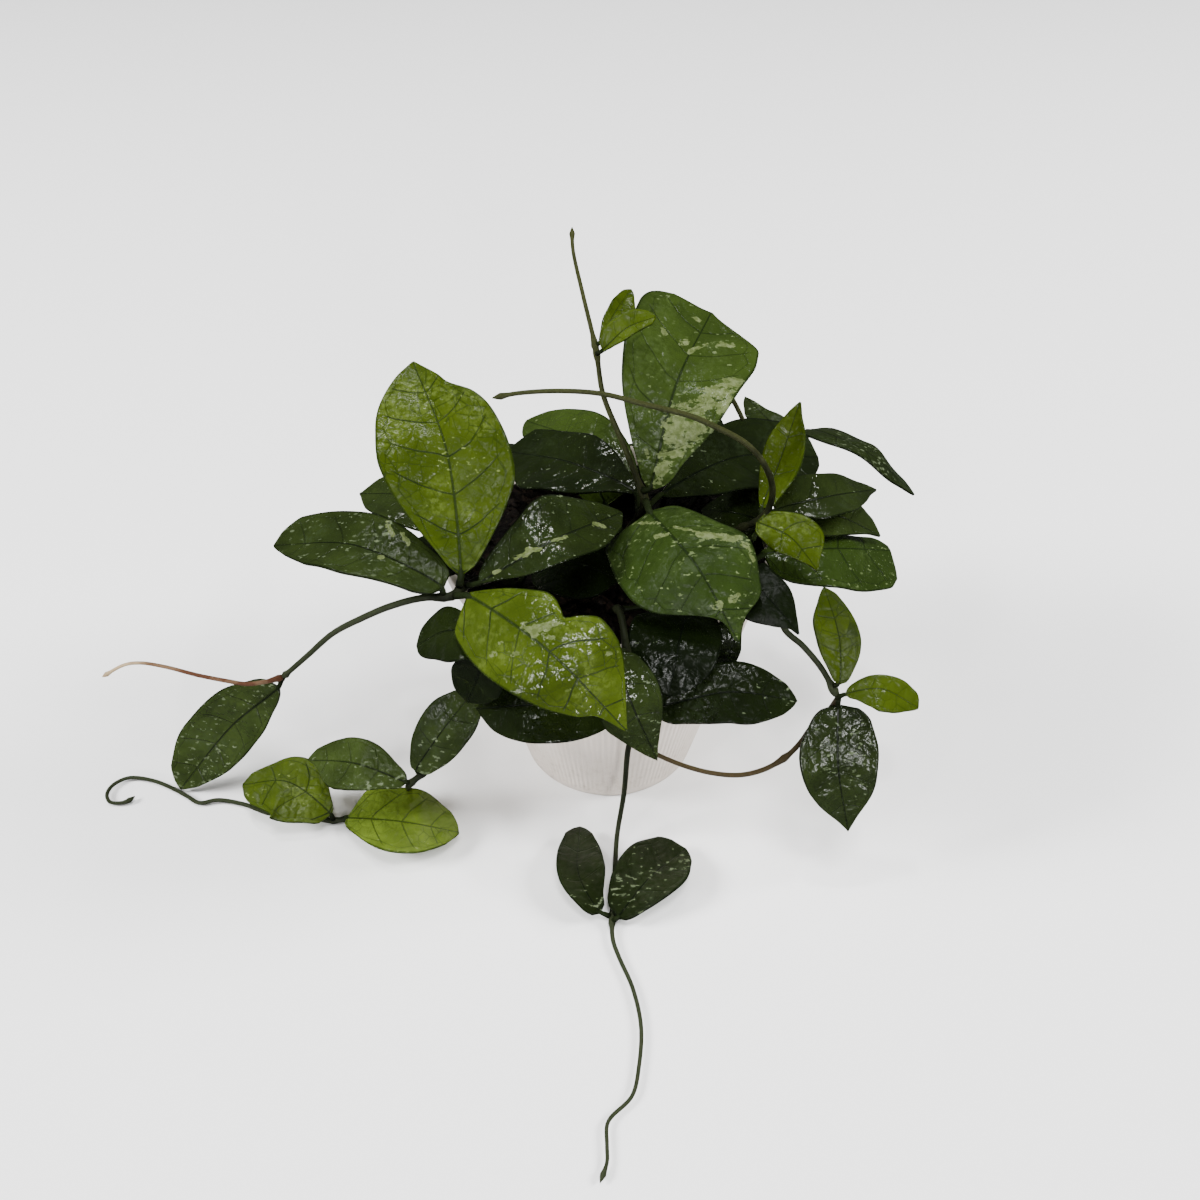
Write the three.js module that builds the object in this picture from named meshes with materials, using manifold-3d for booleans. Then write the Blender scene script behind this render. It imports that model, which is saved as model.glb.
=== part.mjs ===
// A splash-leaved hoya with trailing vines in a ribbed nursery pot, life size, in millimetres, +Z up.
// The origin is the centre of the pot's base, on the surface that the pot and the lowest vines lie on.
import * as THREE from "three";
import * as BufferGeometryUtils from "three/addons/utils/BufferGeometryUtils.js";
import Module from "manifold-3d";

const wasm = await Module();
wasm.setup();

// Pot and soil
const POT = { rim: 75, base: 42, height: 127, wall: 1.6, lip: 1.8, lipHeight: 6, floor: 2.4, corner: 1 };
const RIBS = { count: 42, depth: 0.6, bottom: 6, top: 119 };
const DRAINS = { count: 6, radius: 4, ring: 27, sides: 16 };
const SOIL = { top: 119, lump: 1.4, levelEdge: 10, sectors: 30, rings: 4 };
const HOLE = { sides: 8, rings: [0, 9, 18, 26] };

// Stems and leaves
const GAP = 0.35;
const STEM = { sides: 6, step: 11, closest: 0.9, swell: 0.7, swellReach: 2.2 };
const BUD = { swell: 0.5, back: 3, reach: 2, neck: 4, cap: 1.5, tip: 0.5 };
const BLADE = { sides: 10, ribThick: 1.5, edgeThick: 0.8, mucro: 0.97, mucroWidth: 1.2, mucroEnd: 0.6 };
const PETIOLE = { least: 0.75, perWidth: 0.011, lead: 3, leadShare: 0.4 };
const PETIOLE_STATIONS = [0, 0.55];
const BLADE_STATIONS = [0, 0.07, 0.22, 0.41, 0.61, 0.8, 0.93, 1];
const EDGE_ANGLE = (2 * Math.PI) / 5;

// Finishes
const FINISH = {
  pot: { color: 0xd9d4ce, roughness: 0.45 },
  soil: { color: 0x2c221a, roughness: 0.95 },
  stem: { color: 0x4d5433, roughness: 0.55 },
  stem_brown: { color: 0x5e4330, roughness: 0.6 },
  leaf_lime: { color: 0x6f8a1e, roughness: 0.3 },
  leaf_green: { color: 0x41601f, roughness: 0.28 },
  leaf_dark: { color: 0x20351a, roughness: 0.25 },
};

// The viewpoint that the plant is measured from: where it stands, how steeply it looks down, how long
// its focal length is and where the middle of its picture lies, both in picture points
const VIEW = { x: -4.5, y: -428.7, z: 449.1, fall: THREE.MathUtils.degToRad(40), focal: 1200, middle: 600 };

// The place that shows at (across, down) in the viewpoint's picture and lies `height` above the table
function seen(across, down, height) {
  const right = across - VIEW.middle;
  const up = VIEW.middle - down;
  const ray = new THREE.Vector3(
    right,
    VIEW.focal * Math.cos(VIEW.fall) + up * Math.sin(VIEW.fall),
    up * Math.cos(VIEW.fall) - VIEW.focal * Math.sin(VIEW.fall),
  );
  return ray.multiplyScalar((height - VIEW.z) / ray.z).add(new THREE.Vector3(VIEW.x, VIEW.y, VIEW.z));
}

function at(x, y, z) {
  return new THREE.Vector3(x, y, z);
}

// Stems: each is a list of places from the root up, and thins from `thick` to `thin`
const STEMS = {
  left: {
    route: [at(-34, -24, 101), at(-39, -31, 122), at(-50, -44, 138), seen(462, 588, 142), seen(452, 596, 143),
      seen(422, 598, 142), seen(391, 606, 137), seen(358, 620, 126), seen(332, 634, 110), seen(307, 656, 90),
      seen(283, 677, 70)],
    thick: 1.7, thin: 1,
  },
  centre: {
    route: [at(4, 8, 101), at(6, 2, 124), seen(645, 502, 155), seen(638, 481, 163), seen(622, 441, 181),
      seen(603, 394, 198), seen(596, 350, 213), seen(583, 295, 231), seen(573, 250, 244), seen(572, 227, 250)],
    thick: 1.8, thin: 0.75,
  },
  right: {
    route: [at(36, -2, 101), at(42, -6, 122), at(55, -13, 140), seen(763, 518, 152), seen(771, 502, 161),
      seen(772, 484, 173), seen(762, 461, 189), seen(745, 443, 201), seen(718, 428, 211), seen(690, 416, 218),
      seen(643, 404, 225), seen(603, 394, 229), seen(563, 391, 230), seen(520, 393, 229), seen(492, 398, 227)],
    thick: 1.7, thin: 0.85,
  },
  right_back: {
    route: [at(34, 30, 101), at(40, 34, 123), at(56, 44, 134), at(78, 56, 137), seen(806, 440, 137)],
    thick: 1.7, thin: 1.2,
  },
  behind: {
    route: [at(22, 32, 101), at(26, 34, 124), at(38, 40, 150), at(49, 50, 172), seen(742, 418, 183),
      seen(733, 401, 189), seen(712, 378, 195), seen(690, 362, 199)],
    thick: 1.5, thin: 0.9,
  },
  right_low: {
    route: [at(44, -20, 101), at(50, -25, 123), at(60, -36, 132), at(71, -46, 128), seen(784, 628, 117),
      seen(803, 646, 111), seen(822, 669, 103), seen(838, 698, 94)],
    thick: 1.7, thin: 1.3,
  },
  left_low: {
    route: [at(-20, -40, 101), at(-27, -49, 123), at(-37, -63, 133), at(-46, -72, 121), at(-52, -65, 98),
      at(-56, -55, 76), at(-70, -60, 54), seen(411, 783, 40), seen(409, 787, 22), seen(405, 791, 7),
      seen(394, 798, 2.8), seen(370, 810, 2.6), seen(340, 820, 2.6),
      seen(307, 818, 2.6), seen(268, 813, 2.4), seen(243, 804, 2.2), seen(217, 800, 2.2), seen(200, 803, 2),
      seen(187, 796, 2), seen(174, 789, 2), seen(151, 780, 2), seen(128, 778, 2), seen(113, 785, 2),
      seen(107, 794, 2), seen(110, 802, 2), seen(119, 803, 2), seen(128, 801, 2), seen(135, 796, 2)],
    thick: 1.7, thin: 0.9,
  },
  front: {
    route: [at(0, -38, 101), at(1, -46, 122), at(4, -66, 136), at(7, -83, 123), seen(638, 704, 98),
      seen(634, 728, 78), seen(628, 750, 60), seen(624, 793, 29), seen(617, 836, 7), seen(615, 868, 2.6),
      seen(612, 920, 2.4), seen(613, 940, 2.2), seen(619, 957, 2), seen(633, 989, 2), seen(641, 1026, 2),
      seen(639, 1066, 2), seen(632, 1096, 2), seen(608, 1122, 2), seen(607, 1145, 2), seen(607, 1162, 2),
      seen(600, 1183, 2)],
    thick: 1.7, thin: 0.75,
  },
  back: {
    route: [at(-8, 38, 101), at(-10, 46, 123), at(-14, 66, 134), at(-18, 84, 126), at(-22, 91, 104),
      at(-26, 92, 74), at(-30, 93, 44), at(-33, 103, 16), at(-36, 122, 2.6), at(-44, 146, 2.2),
      at(-60, 166, 2), at(-82, 176, 2)],
    thick: 1.7, thin: 0.9,
  },
};

// Bare brown shoots: the ones that go on from the end of a stem
const SHOOTS = {
  shoot_left: {
    from: "left",
    route: [seen(264, 682, 72), seen(247, 684, 72), seen(227, 681, 74), seen(197, 675, 76), seen(166, 667, 76),
      seen(141, 663, 74), seen(124, 665, 70), seen(102, 677, 62)],
    thick: 1.1, thin: 0.7,
  },
  shoot_right: {
    from: "right_low",
    route: [seen(818, 699, 87), seen(808, 727, 76), seen(794, 749, 70), seen(782, 761, 66), seen(763, 770, 64),
      seen(740, 775, 64), seen(712, 773, 66), seen(685, 766, 70), seen(658, 755, 76), seen(634, 742, 84)],
    thick: 1.3, thin: 1,
  },
};

// Leaves. `base` is where the blade starts, and the stalk reaches from there to the nearest place on the
// stem. `width` is the blade's widest, at the fraction `widest` of its length, and `lean` shifts that
// place forward on the left side and back on the right; `full` is 1 on an oval and more on a leaner blade;
// `face` is the way that the upper side looks; `cup` lifts the edges where positive and droops them where
// negative; `wave` is the height of the waves at the edge.
const TO_VIEW = [0, -0.75, 0.66];
const UPWARD = [0, -0.35, 0.94];
const FLAT = [0, 0, 1];
const LEAVES = [
  { name: "leaf_left_up", on: "left", tone: "leaf_lime", width: 56, widest: 0.55, full: 1.5, lean: 0.06,
    face: TO_VIEW, base: seen(461, 574, 150), middle: seen(447, 452, 188), tip: seen(413, 362, 210),
    cup: 0.12, wave: 1.4 },
  { name: "leaf_left_front", on: "left", tone: "leaf_lime", width: 54, widest: 0.5, full: 1.05, lean: 0.1,
    face: TO_VIEW, base: seen(468, 596, 148), middle: seen(545, 648, 146), tip: seen(626, 730, 112),
    cup: -0.1, wave: 2.2 },
  { name: "leaf_left_out", on: "left", tone: "leaf_dark", width: 33, widest: 0.56, full: 1.4, face: UPWARD,
    base: seen(442, 587, 148), middle: seen(356, 546, 155), tip: seen(274, 546, 146), cup: 0.12, wave: 0.8 },
  { name: "leaf_left_in", on: "left", tone: "leaf_dark", width: 39, widest: 0.58, full: 1.4, face: UPWARD,
    base: seen(479, 583, 147), middle: seen(553, 541, 162), tip: seen(622, 513, 156), cup: 0.04, wave: 0.8 },
  { name: "leaf_left_behind", on: "left", tone: "leaf_dark", width: 30, widest: 0.5, full: 1.4, face: UPWARD,
    base: seen(446, 530, 134), middle: seen(408, 498, 138), tip: seen(360, 494, 132), cup: 0.1, wave: 0.6 },
  { name: "leaf_left_under", on: "left", tone: "leaf_dark", width: 21, widest: 0.5, full: 1.1, face: UPWARD,
    base: seen(456, 572, 138), middle: seen(436, 557, 140), tip: seen(411, 543, 137), cup: 0.1, wave: 0.3 },
  { name: "leaf_left_end", on: "left", tone: "leaf_dark", width: 35, widest: 0.55, full: 1.4,
    face: [0.3, -0.6, 0.75], base: seen(274, 690, 62), middle: seen(230, 727, 38), tip: seen(181, 789, 2.5),
    cup: 0.1, wave: 0.8 },

  { name: "leaf_centre_up", on: "centre", tone: "leaf_green", width: 58, widest: 0.68, full: 1.4, lean: 0.05,
    face: TO_VIEW, base: seen(650, 488, 164), middle: seen(675, 388, 202), tip: seen(714, 306, 216),
    cup: 0.1, wave: 1.6 },
  { name: "leaf_centre_left", on: "centre", tone: "leaf_dark", width: 42, widest: 0.55, full: 1.3,
    face: UPWARD, base: seen(636, 494, 150), middle: seen(574, 464, 151), tip: seen(508, 452, 143), cup: 0.06,
    wave: 1.2 },
  { name: "leaf_centre_right", on: "centre", tone: "leaf_dark", width: 44, widest: 0.55, full: 1.2,
    face: UPWARD, base: seen(660, 495, 151), middle: seen(738, 457, 151), tip: seen(818, 458, 144), cup: 0.06,
    wave: 1.2 },
  { name: "leaf_centre_front", on: "centre", tone: "leaf_green", width: 62, widest: 0.48, full: 1.1,
    face: [0, -0.6, 0.8], base: seen(650, 512, 158), middle: seen(698, 568, 157), tip: seen(738, 642, 134),
    cup: -0.16, wave: 1.6 },
  { name: "leaf_centre_back", on: "centre", tone: "leaf_green", width: 36, widest: 0.55, full: 1.2,
    face: [0, -0.5, 0.87], base: at(-2, 14, 134), middle: at(-18, 46, 147), tip: at(-40, 72, 142), cup: 0.1,
    wave: 1.2 },
  { name: "leaf_top_left", on: "centre", tone: "leaf_lime", width: 11, widest: 0.55, full: 1.4,
    face: TO_VIEW, base: seen(600, 343, 216), middle: seen(613, 316, 222), tip: seen(631, 290, 227), cup: 0.2,
    wave: 0 },
  { name: "leaf_top_right", on: "centre", tone: "leaf_lime", width: 13, widest: 0.55, full: 1.3,
    face: TO_VIEW, base: seen(603, 350, 219), middle: seen(627, 328, 227), tip: seen(656, 317, 230), cup: 0.2,
    wave: 0 },

  { name: "leaf_right_up", on: "right", tone: "leaf_lime", width: 20, widest: 0.5, full: 1.5,
    face: [-0.4, -0.75, 0.5], base: seen(762, 508, 153), middle: seen(781, 458, 168), tip: seen(800, 402, 186),
    cup: 0.15, wave: 0.4 },
  { name: "leaf_right_low", on: "right", tone: "leaf_lime", width: 22, widest: 0.5, full: 1, face: TO_VIEW,
    base: seen(762, 525, 152), middle: seen(791, 537, 150), tip: seen(818, 571, 141), cup: 0.1, wave: 0.5 },

  { name: "leaf_right_in", on: "right", tone: "leaf_dark", width: 28, widest: 0.45, full: 1,
    face: UPWARD, base: seen(764, 523, 131), middle: seen(738, 514, 134), tip: seen(701, 510, 130), cup: 0.05,
    wave: 0.5 },

  { name: "leaf_back_grey", on: "right_back", tone: "leaf_dark", width: 17, widest: 0.45, full: 1.4,
    face: UPWARD, base: seen(802, 434, 142), middle: seen(779, 428, 147), tip: seen(745, 397, 151),
    cup: 0.1, wave: 0.8 },
  { name: "leaf_arching", on: "right_back", tone: "leaf_dark", width: 28, widest: 0.42, full: 1.3,
    face: [0.1, 0.2, 0.97], base: seen(815, 434, 143), middle: seen(866, 447, 144), tip: seen(914, 493, 124),
    cup: -0.05, wave: 0.6 },
  { name: "leaf_right_upper", on: "right", tone: "leaf_dark", width: 29, widest: 0.5, full: 1.3, face: UPWARD,
    base: seen(776, 510, 148), middle: seen(828, 497, 151), tip: seen(876, 490, 142), cup: 0.06, wave: 0.8 },
  { name: "leaf_right_middle", on: "right", tone: "leaf_dark", width: 34, widest: 0.55, full: 1.2,
    face: UPWARD, base: seen(774, 520, 138), middle: seen(828, 514, 141), tip: seen(880, 536, 130),
    cup: 0.02, wave: 0.8 },
  { name: "leaf_right_round", on: "right_low", tone: "leaf_green", width: 37, widest: 0.55, full: 1.1,
    face: UPWARD, base: seen(763, 556, 131), middle: seen(828, 551, 132), tip: seen(896, 568, 118),
    cup: -0.22, wave: 0.8 },
  { name: "leaf_right_down", on: "right_low", tone: "leaf_dark", width: 28, widest: 0.55, full: 1.2,
    face: [0.2, -0.75, 0.6], base: seen(742, 572, 142), middle: seen(768, 598, 141), tip: seen(799, 634, 130),
    cup: -0.1, wave: 0.6 },

  { name: "leaf_sprig_up", on: "right_low", tone: "leaf_lime", width: 20, widest: 0.5, full: 1.3,
    face: TO_VIEW, base: seen(839, 684, 101), middle: seen(839, 638, 117), tip: seen(824, 587, 132),
    cup: 0.1, wave: 0.5 },
  { name: "leaf_sprig_right", on: "right_low", tone: "leaf_lime", width: 15, widest: 0.55, full: 1.3,
    face: [0, -0.6, 0.8], base: seen(851, 693, 99), middle: seen(882, 688, 104), tip: seen(918, 708, 97),
    cup: 0.05, wave: 0.5 },
  { name: "leaf_sprig_down", on: "right_low", tone: "leaf_dark", width: 34, widest: 0.42, full: 1.2,
    face: [0, -0.85, 0.5], base: seen(838, 708, 89), middle: seen(838, 766, 67), tip: seen(848, 831, 36),
    cup: 0.12, wave: 0.6 },

  { name: "leaf_front_left", on: "front", tone: "leaf_dark", width: 32, widest: 0.5, full: 1.2,
    face: [0, -0.6, 0.8], base: seen(624, 704, 101), middle: seen(548, 704, 106), tip: seen(476, 709, 96),
    cup: 0.03, wave: 0.6 },
  { name: "leaf_front_right", on: "front", tone: "leaf_dark", width: 28, widest: 0.5, full: 1.2,
    face: [0, -0.7, 0.7], base: seen(656, 706, 101), middle: seen(730, 692, 106), tip: seen(797, 701, 100),
    cup: 0.1, wave: 0.8 },
  { name: "leaf_front_point", on: "front", tone: "leaf_dark", width: 30, widest: 0.45, full: 1.3,
    face: [0.1, -0.85, 0.5], base: seen(612, 652, 134), middle: seen(630, 700, 120), tip: seen(657, 760, 90),
    cup: -0.1, wave: 0.8 },
  { name: "leaf_front_shade", on: "front", tone: "leaf_dark", width: 37, widest: 0.5, full: 1.1,
    face: [0, -0.75, 0.66], base: seen(682, 606, 132), middle: seen(678, 648, 129), tip: seen(668, 697, 113),
    cup: 0.05, wave: 1 },
  { name: "leaf_front_under", on: "right_low", tone: "leaf_dark", width: 13, widest: 0.5, full: 1.2,
    face: [0.1, -0.75, 0.66], base: seen(745, 612, 129), middle: seen(734, 640, 121), tip: seen(724, 667, 108),
    cup: 0.05, wave: 0.8 },

  { name: "leaf_side_out", on: "left_low", tone: "leaf_dark", width: 23, widest: 0.5, full: 1.1,
    face: UPWARD, base: seen(480, 634, 136), middle: seen(448, 630, 134), tip: seen(419, 643, 124),
    cup: 0.05, wave: 0.6 },
  { name: "leaf_side_down", on: "left_low", tone: "leaf_dark", width: 22, widest: 0.5, full: 1.2,
    face: [-0.1, -0.8, 0.55], base: seen(486, 652, 132), middle: seen(478, 677, 118), tip: seen(468, 702, 102),
    cup: 0.05, wave: 0.6 },
  { name: "leaf_low_up", on: "left_low", tone: "leaf_dark", width: 23, widest: 0.55, full: 1.2,
    face: [0, -0.8, 0.6], base: seen(416, 771, 50), middle: seen(440, 734, 68), tip: seen(473, 692, 84),
    cup: 0.08, wave: 0.6 },
  { name: "leaf_low_out", on: "left_low", tone: "leaf_dark", width: 24, widest: 0.55, full: 1.2,
    face: [0, -0.6, 0.8], base: seen(402, 781, 42), middle: seen(358, 764, 46), tip: seen(308, 760, 36),
    cup: 0.05, wave: 0.6 },
  { name: "leaf_table_fold", on: "left_low", tone: "leaf_lime", width: 27, widest: 0.45, full: 1.2,
    face: [0, -0.45, 0.9], base: seen(330, 810, 10), middle: seen(291, 790, 18), tip: seen(243, 787, 18),
    cup: 0.15, wave: 0.8 },
  { name: "leaf_table_lime", on: "left_low", tone: "leaf_lime", width: 36, widest: 0.5, full: 1.15,
    face: FLAT, base: seen(347, 818, 9), middle: seen(402, 822, 13), tip: seen(459, 833, 7), cup: 0.03,
    wave: 0.6 },

  { name: "leaf_tail_left", on: "front", tone: "leaf_dark", width: 22, widest: 0.5, full: 1.1, face: FLAT,
    base: seen(600, 912, 6), middle: seen(579, 876, 10), tip: seen(580, 827, 7), cup: 0.1, wave: 0.4 },
  { name: "leaf_tail_right", on: "front", tone: "leaf_dark", width: 29, widest: 0.55, full: 1.1, face: FLAT,
    base: seen(618, 917, 6), middle: seen(648, 880, 11), tip: seen(686, 849, 8), cup: 0.1, wave: 0.4 },

  { name: "leaf_heart_left", on: "left", tone: "leaf_dark", width: 36, widest: 0.5, full: 1.2, face: UPWARD,
    base: at(-34, -26, 130), middle: at(-20, -32, 138), tip: at(4, -40, 134), cup: 0.06, wave: 1 },
  { name: "leaf_heart_back", on: "right_back", tone: "leaf_dark", width: 38, widest: 0.5, full: 1.2,
    face: FLAT, base: at(46, 50, 133), middle: at(38, 68, 138), tip: at(24, 92, 126), cup: 0.06, wave: 1 },
  { name: "leaf_rear_left", on: "back", tone: "leaf_dark", width: 40, widest: 0.5, full: 1.2,
    face: [-0.3, 0.4, 0.85], base: at(-24, 59, 132), middle: at(-50, 58, 132), tip: at(-84, 54, 118),
    cup: 0.06, wave: 1 },
  { name: "leaf_rear_right", on: "back", tone: "leaf_green", width: 40, widest: 0.5, full: 1.2,
    face: [0.2, 0.6, 0.75], base: at(-8, 91, 114), middle: at(14, 97, 110), tip: at(36, 98, 88),
    cup: 0.08, wave: 1 },
  { name: "leaf_rear_low_left", on: "back", tone: "leaf_dark", width: 34, widest: 0.5, full: 1.2,
    face: [-0.2, 0.85, 0.5], base: at(-34, 98, 84), middle: at(-60, 102, 74), tip: at(-84, 100, 46),
    cup: 0.08, wave: 0.8 },
  { name: "leaf_rear_low_right", on: "back", tone: "leaf_dark", width: 34, widest: 0.5, full: 1.2,
    face: [0.2, 0.85, 0.5], base: at(-18, 99, 76), middle: at(6, 106, 68), tip: at(30, 102, 42),
    cup: 0.08, wave: 0.8 },
  { name: "leaf_rear_tail_left", on: "back", tone: "leaf_lime", width: 26, widest: 0.5, full: 1.1, face: FLAT,
    base: at(-44, 120, 6), middle: at(-66, 122, 12), tip: at(-92, 118, 6), cup: 0.08, wave: 0.5 },
  { name: "leaf_rear_tail_right", on: "back", tone: "leaf_lime", width: 28, widest: 0.5, full: 1.1,
    face: FLAT, base: at(-28, 124, 6), middle: at(-6, 132, 12), tip: at(18, 136, 6), cup: 0.08, wave: 0.5 },
];

// A closed tube or blade: a cylinder whose rings are laid again one by one. place(row, angle, reach)
// gives a corner's new place, where reach is 0 in the middle of an end and 1 on the ring.
function loft(sides, rows, place) {
  const cylinder = new THREE.CylinderGeometry(1, 1, 1, sides, rows);
  cylinder.deleteAttribute("normal");
  cylinder.deleteAttribute("uv");
  const geometry = BufferGeometryUtils.mergeVertices(cylinder);
  const corners = geometry.attributes.position;
  const corner = new THREE.Vector3();
  for (let i = 0; i < corners.count; i += 1) {
    corner.fromBufferAttribute(corners, i);
    const row = Math.round((0.5 - corner.y) * rows);
    const angle = Math.atan2(corner.x, corner.z);
    const laid = place(row, angle, Math.round(Math.hypot(corner.x, corner.z)));
    corners.setXYZ(i, laid.x, laid.y, laid.z);
  }
  return geometry;
}

// Both faces of a blade are split into triangles alike: the lower face's squares change their diagonal
function splitAlike(geometry, sides, rows) {
  const index = geometry.index;
  for (let side = 0; side < sides; side += 1) {
    if (Math.cos((2 * Math.PI * (side + 0.5)) / sides) > -0.01) {
      continue;
    }
    for (let row = 0; row < rows; row += 1) {
      const first = 6 * (side * rows + row);
      const [a, b, d, c] = [0, 1, 2, 4].map((step) => index.getX(first + step));
      [a, b, c, a, c, d].forEach((corner, step) => index.setX(first + step, corner));
    }
  }
  return geometry;
}

// Directions at each fraction of a curve's length: along it, sideways and up, carried on from the middle
// so that they never spin
function framesAlong(curve, fractions, sideways) {
  const frames = fractions.map((part) => ({ point: curve.getPointAt(part), along: curve.getTangentAt(part) }));
  const carry = (frame, side) => {
    frame.side = side.clone().addScaledVector(frame.along, -side.dot(frame.along)).normalize();
    frame.up = frame.along.clone().cross(frame.side);
    return frame.side;
  };
  const middle = Math.floor(frames.length / 2);
  let side = sideways;
  for (let i = middle; i < frames.length; i += 1) {
    side = carry(frames[i], side);
  }
  side = frames[middle].side;
  for (let i = middle - 1; i >= 0; i -= 1) {
    side = carry(frames[i], side);
  }
  return frames;
}

function smoothPath(points) {
  const curve = new THREE.CatmullRomCurve3(points);
  curve.arcLengthDivisions = 40 * points.length;
  return curve;
}

function perpendicularTo(direction) {
  const helper = Math.abs(direction.z) < 0.8 ? new THREE.Vector3(0, 0, 1) : new THREE.Vector3(1, 0, 0);
  return helper.cross(direction).normalize();
}

// The place on a curve that is nearest to a point, and how far along the curve it lies
function nearestOn(curve, point) {
  const steps = 400;
  let best = { gap: Infinity };
  for (let i = 0; i <= steps; i += 1) {
    const place = curve.getPointAt(i / steps);
    const gap = place.distanceTo(point);
    if (gap < best.gap) {
      best = { gap, place, distance: (i / steps) * curve.getLength() };
    }
  }
  return best;
}

// A round tube along a curve, with a ring at each of the distances
function tube(curve, distances, radiusAt, sides) {
  const length = curve.getLength();
  const fractions = distances.map((distance) => distance / length);
  const frames = framesAlong(curve, fractions, perpendicularTo(curve.getTangentAt(0.5)));
  return loft(sides, distances.length - 1, (row, angle, reach) => {
    const frame = frames[row];
    const radius = reach * radiusAt(distances[row]);
    return frame.point.clone()
      .addScaledVector(frame.side, radius * Math.sin(angle))
      .addScaledVector(frame.up, radius * Math.cos(angle));
  });
}

// How thick a stem is at a distance from its root: it thins, swells at each joint and ends in a bud
function stemRadius(stem, distance) {
  const length = stem.curve.getLength();
  const bump = (place, reach) => Math.exp(-(((distance - place) / reach) ** 2));
  const thinned = THREE.MathUtils.lerp(stem.thick, stem.thin, distance / length);
  const swollen = STEM.swell * Math.max(0, ...stem.joints.map((place) => bump(place, STEM.swellReach)));
  const rounded = distance < length ? 1 : BUD.tip;
  return (thinned + swollen + BUD.swell * bump(length - BUD.back, BUD.reach)) * rounded;
}

// Rings at even steps along a stem, with closer ones at its joints and its bud
function stemDistances(stem) {
  const length = stem.curve.getLength();
  const joints = stem.joints.flatMap((place) => [place - STEM.swellReach, place, place + STEM.swellReach]);
  const bud = [length - BUD.neck, length - BUD.cap, length];
  const close = [GAP, ...joints, ...bud].filter((d) => d >= GAP && d <= length);
  const steps = Math.round(length / STEM.step);
  const even = Array.from({ length: steps }, (_, i) => ((i + 0.5) * length) / steps);
  const clear = even.filter((d) => close.every((other) => Math.abs(other - d) > 0.4 * STEM.step));
  const sorted = [...close, ...clear].sort((one, other) => one - other);
  return sorted.filter((d, i) => i === 0 || d - sorted[i - 1] > STEM.closest);
}

// Half the width of a blade at a fraction of its length: an oval that ends in a short narrow tip
function halfWidth(leaf, part, across) {
  const inside = Math.min(part / BLADE.mucro, 1);
  const widest = leaf.widest + (leaf.lean ?? 0) * Math.sign(across);
  const rise = (inside / widest) ** (leaf.full * widest);
  const fall = ((1 - inside) / (1 - widest)) ** (leaf.full * (1 - widest));
  const tip = (BLADE.mucroWidth / 2) * (part < 1 ? 1 : BLADE.mucroEnd);
  return Math.max((leaf.width / 2) * rise * fall, tip);
}

// How far a blade's edge stands above or below its rib
function edgeLift(leaf, part, across) {
  const phase = across > 0 ? 0.6 : 2.3;
  const ripple = leaf.wave * across ** 2 * Math.sin(4 * Math.PI * part + phase) * Math.sin(Math.PI * part);
  return leaf.cup * Math.abs(across) ** 1.5 * halfWidth(leaf, part, across) + ripple;
}

// A leaf's stalk and blade in one: round rings on the stalk that flatten into the blade
function leafGeometry(leaf, start, outward) {
  const leadLength = Math.min(PETIOLE.lead, PETIOLE.leadShare * start.distanceTo(leaf.base));
  const lead = start.clone().addScaledVector(outward, leadLength);
  const curve = smoothPath([start, lead, leaf.base, leaf.middle, leaf.tip]);
  const stalk = nearestOn(curve, leaf.base).distance / curve.getLength();
  const fractions = [
    ...PETIOLE_STATIONS.map((part) => part * stalk),
    ...BLADE_STATIONS.map((part) => stalk + (1 - stalk) * part),
  ];
  const chord = leaf.tip.clone().sub(leaf.base);
  const sideways = new THREE.Vector3(...leaf.face).cross(chord).normalize();
  const frames = framesAlong(curve, fractions, sideways);
  const stalkRadius = PETIOLE.least + PETIOLE.perWidth * leaf.width;
  const rows = fractions.length - 1;
  const geometry = loft(BLADE.sides, rows, (row, angle, reach) => {
    const frame = frames[row];
    const onBlade = row >= PETIOLE_STATIONS.length;
    const part = onBlade ? BLADE_STATIONS[row - PETIOLE_STATIONS.length] : 0;
    let aside = stalkRadius * Math.sin(angle);
    let above = stalkRadius * Math.cos(angle);
    if (part > 0) {
      const across = Math.sin(angle) / Math.sin(EDGE_ANGLE);
      const thick = THREE.MathUtils.lerp(BLADE.ribThick, BLADE.edgeThick, Math.sqrt(Math.abs(across)));
      aside = halfWidth(leaf, part, across) * across;
      above = edgeLift(leaf, part, across) + Math.sign(Math.cos(angle)) * (thick / 2);
    }
    return frame.point.clone()
      .addScaledVector(frame.side, reach * aside)
      .addScaledVector(frame.up, reach * above);
  });
  return splitAlike(geometry, BLADE.sides, rows);
}

function toManifold(geometry) {
  const numbers = geometry.index ? geometry : BufferGeometryUtils.mergeVertices(geometry);
  return new wasm.Manifold(new wasm.Mesh({
    numProp: 3,
    vertProperties: new Float32Array(numbers.attributes.position.array),
    triVerts: new Uint32Array(numbers.index.array),
  }));
}

function fromManifold(solid) {
  const mesh = solid.getMesh();
  const geometry = new THREE.BufferGeometry();
  geometry.setAttribute("position", new THREE.BufferAttribute(new Float32Array(mesh.vertProperties), 3));
  geometry.setIndex(Array.from(mesh.triVerts));
  return geometry;
}

// A solid of revolution about +Z from a profile of [radius, height] corners
function turned(profile, sectors) {
  const lathe = new THREE.LatheGeometry(profile.map(([r, z]) => new THREE.Vector2(r, z)), sectors);
  lathe.rotateX(Math.PI / 2);
  lathe.deleteAttribute("normal");
  lathe.deleteAttribute("uv");
  return BufferGeometryUtils.mergeVertices(lathe, 1e-3);
}

function potRadius(z) {
  return THREE.MathUtils.lerp(POT.base, POT.rim - POT.lip, z / POT.height);
}

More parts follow.
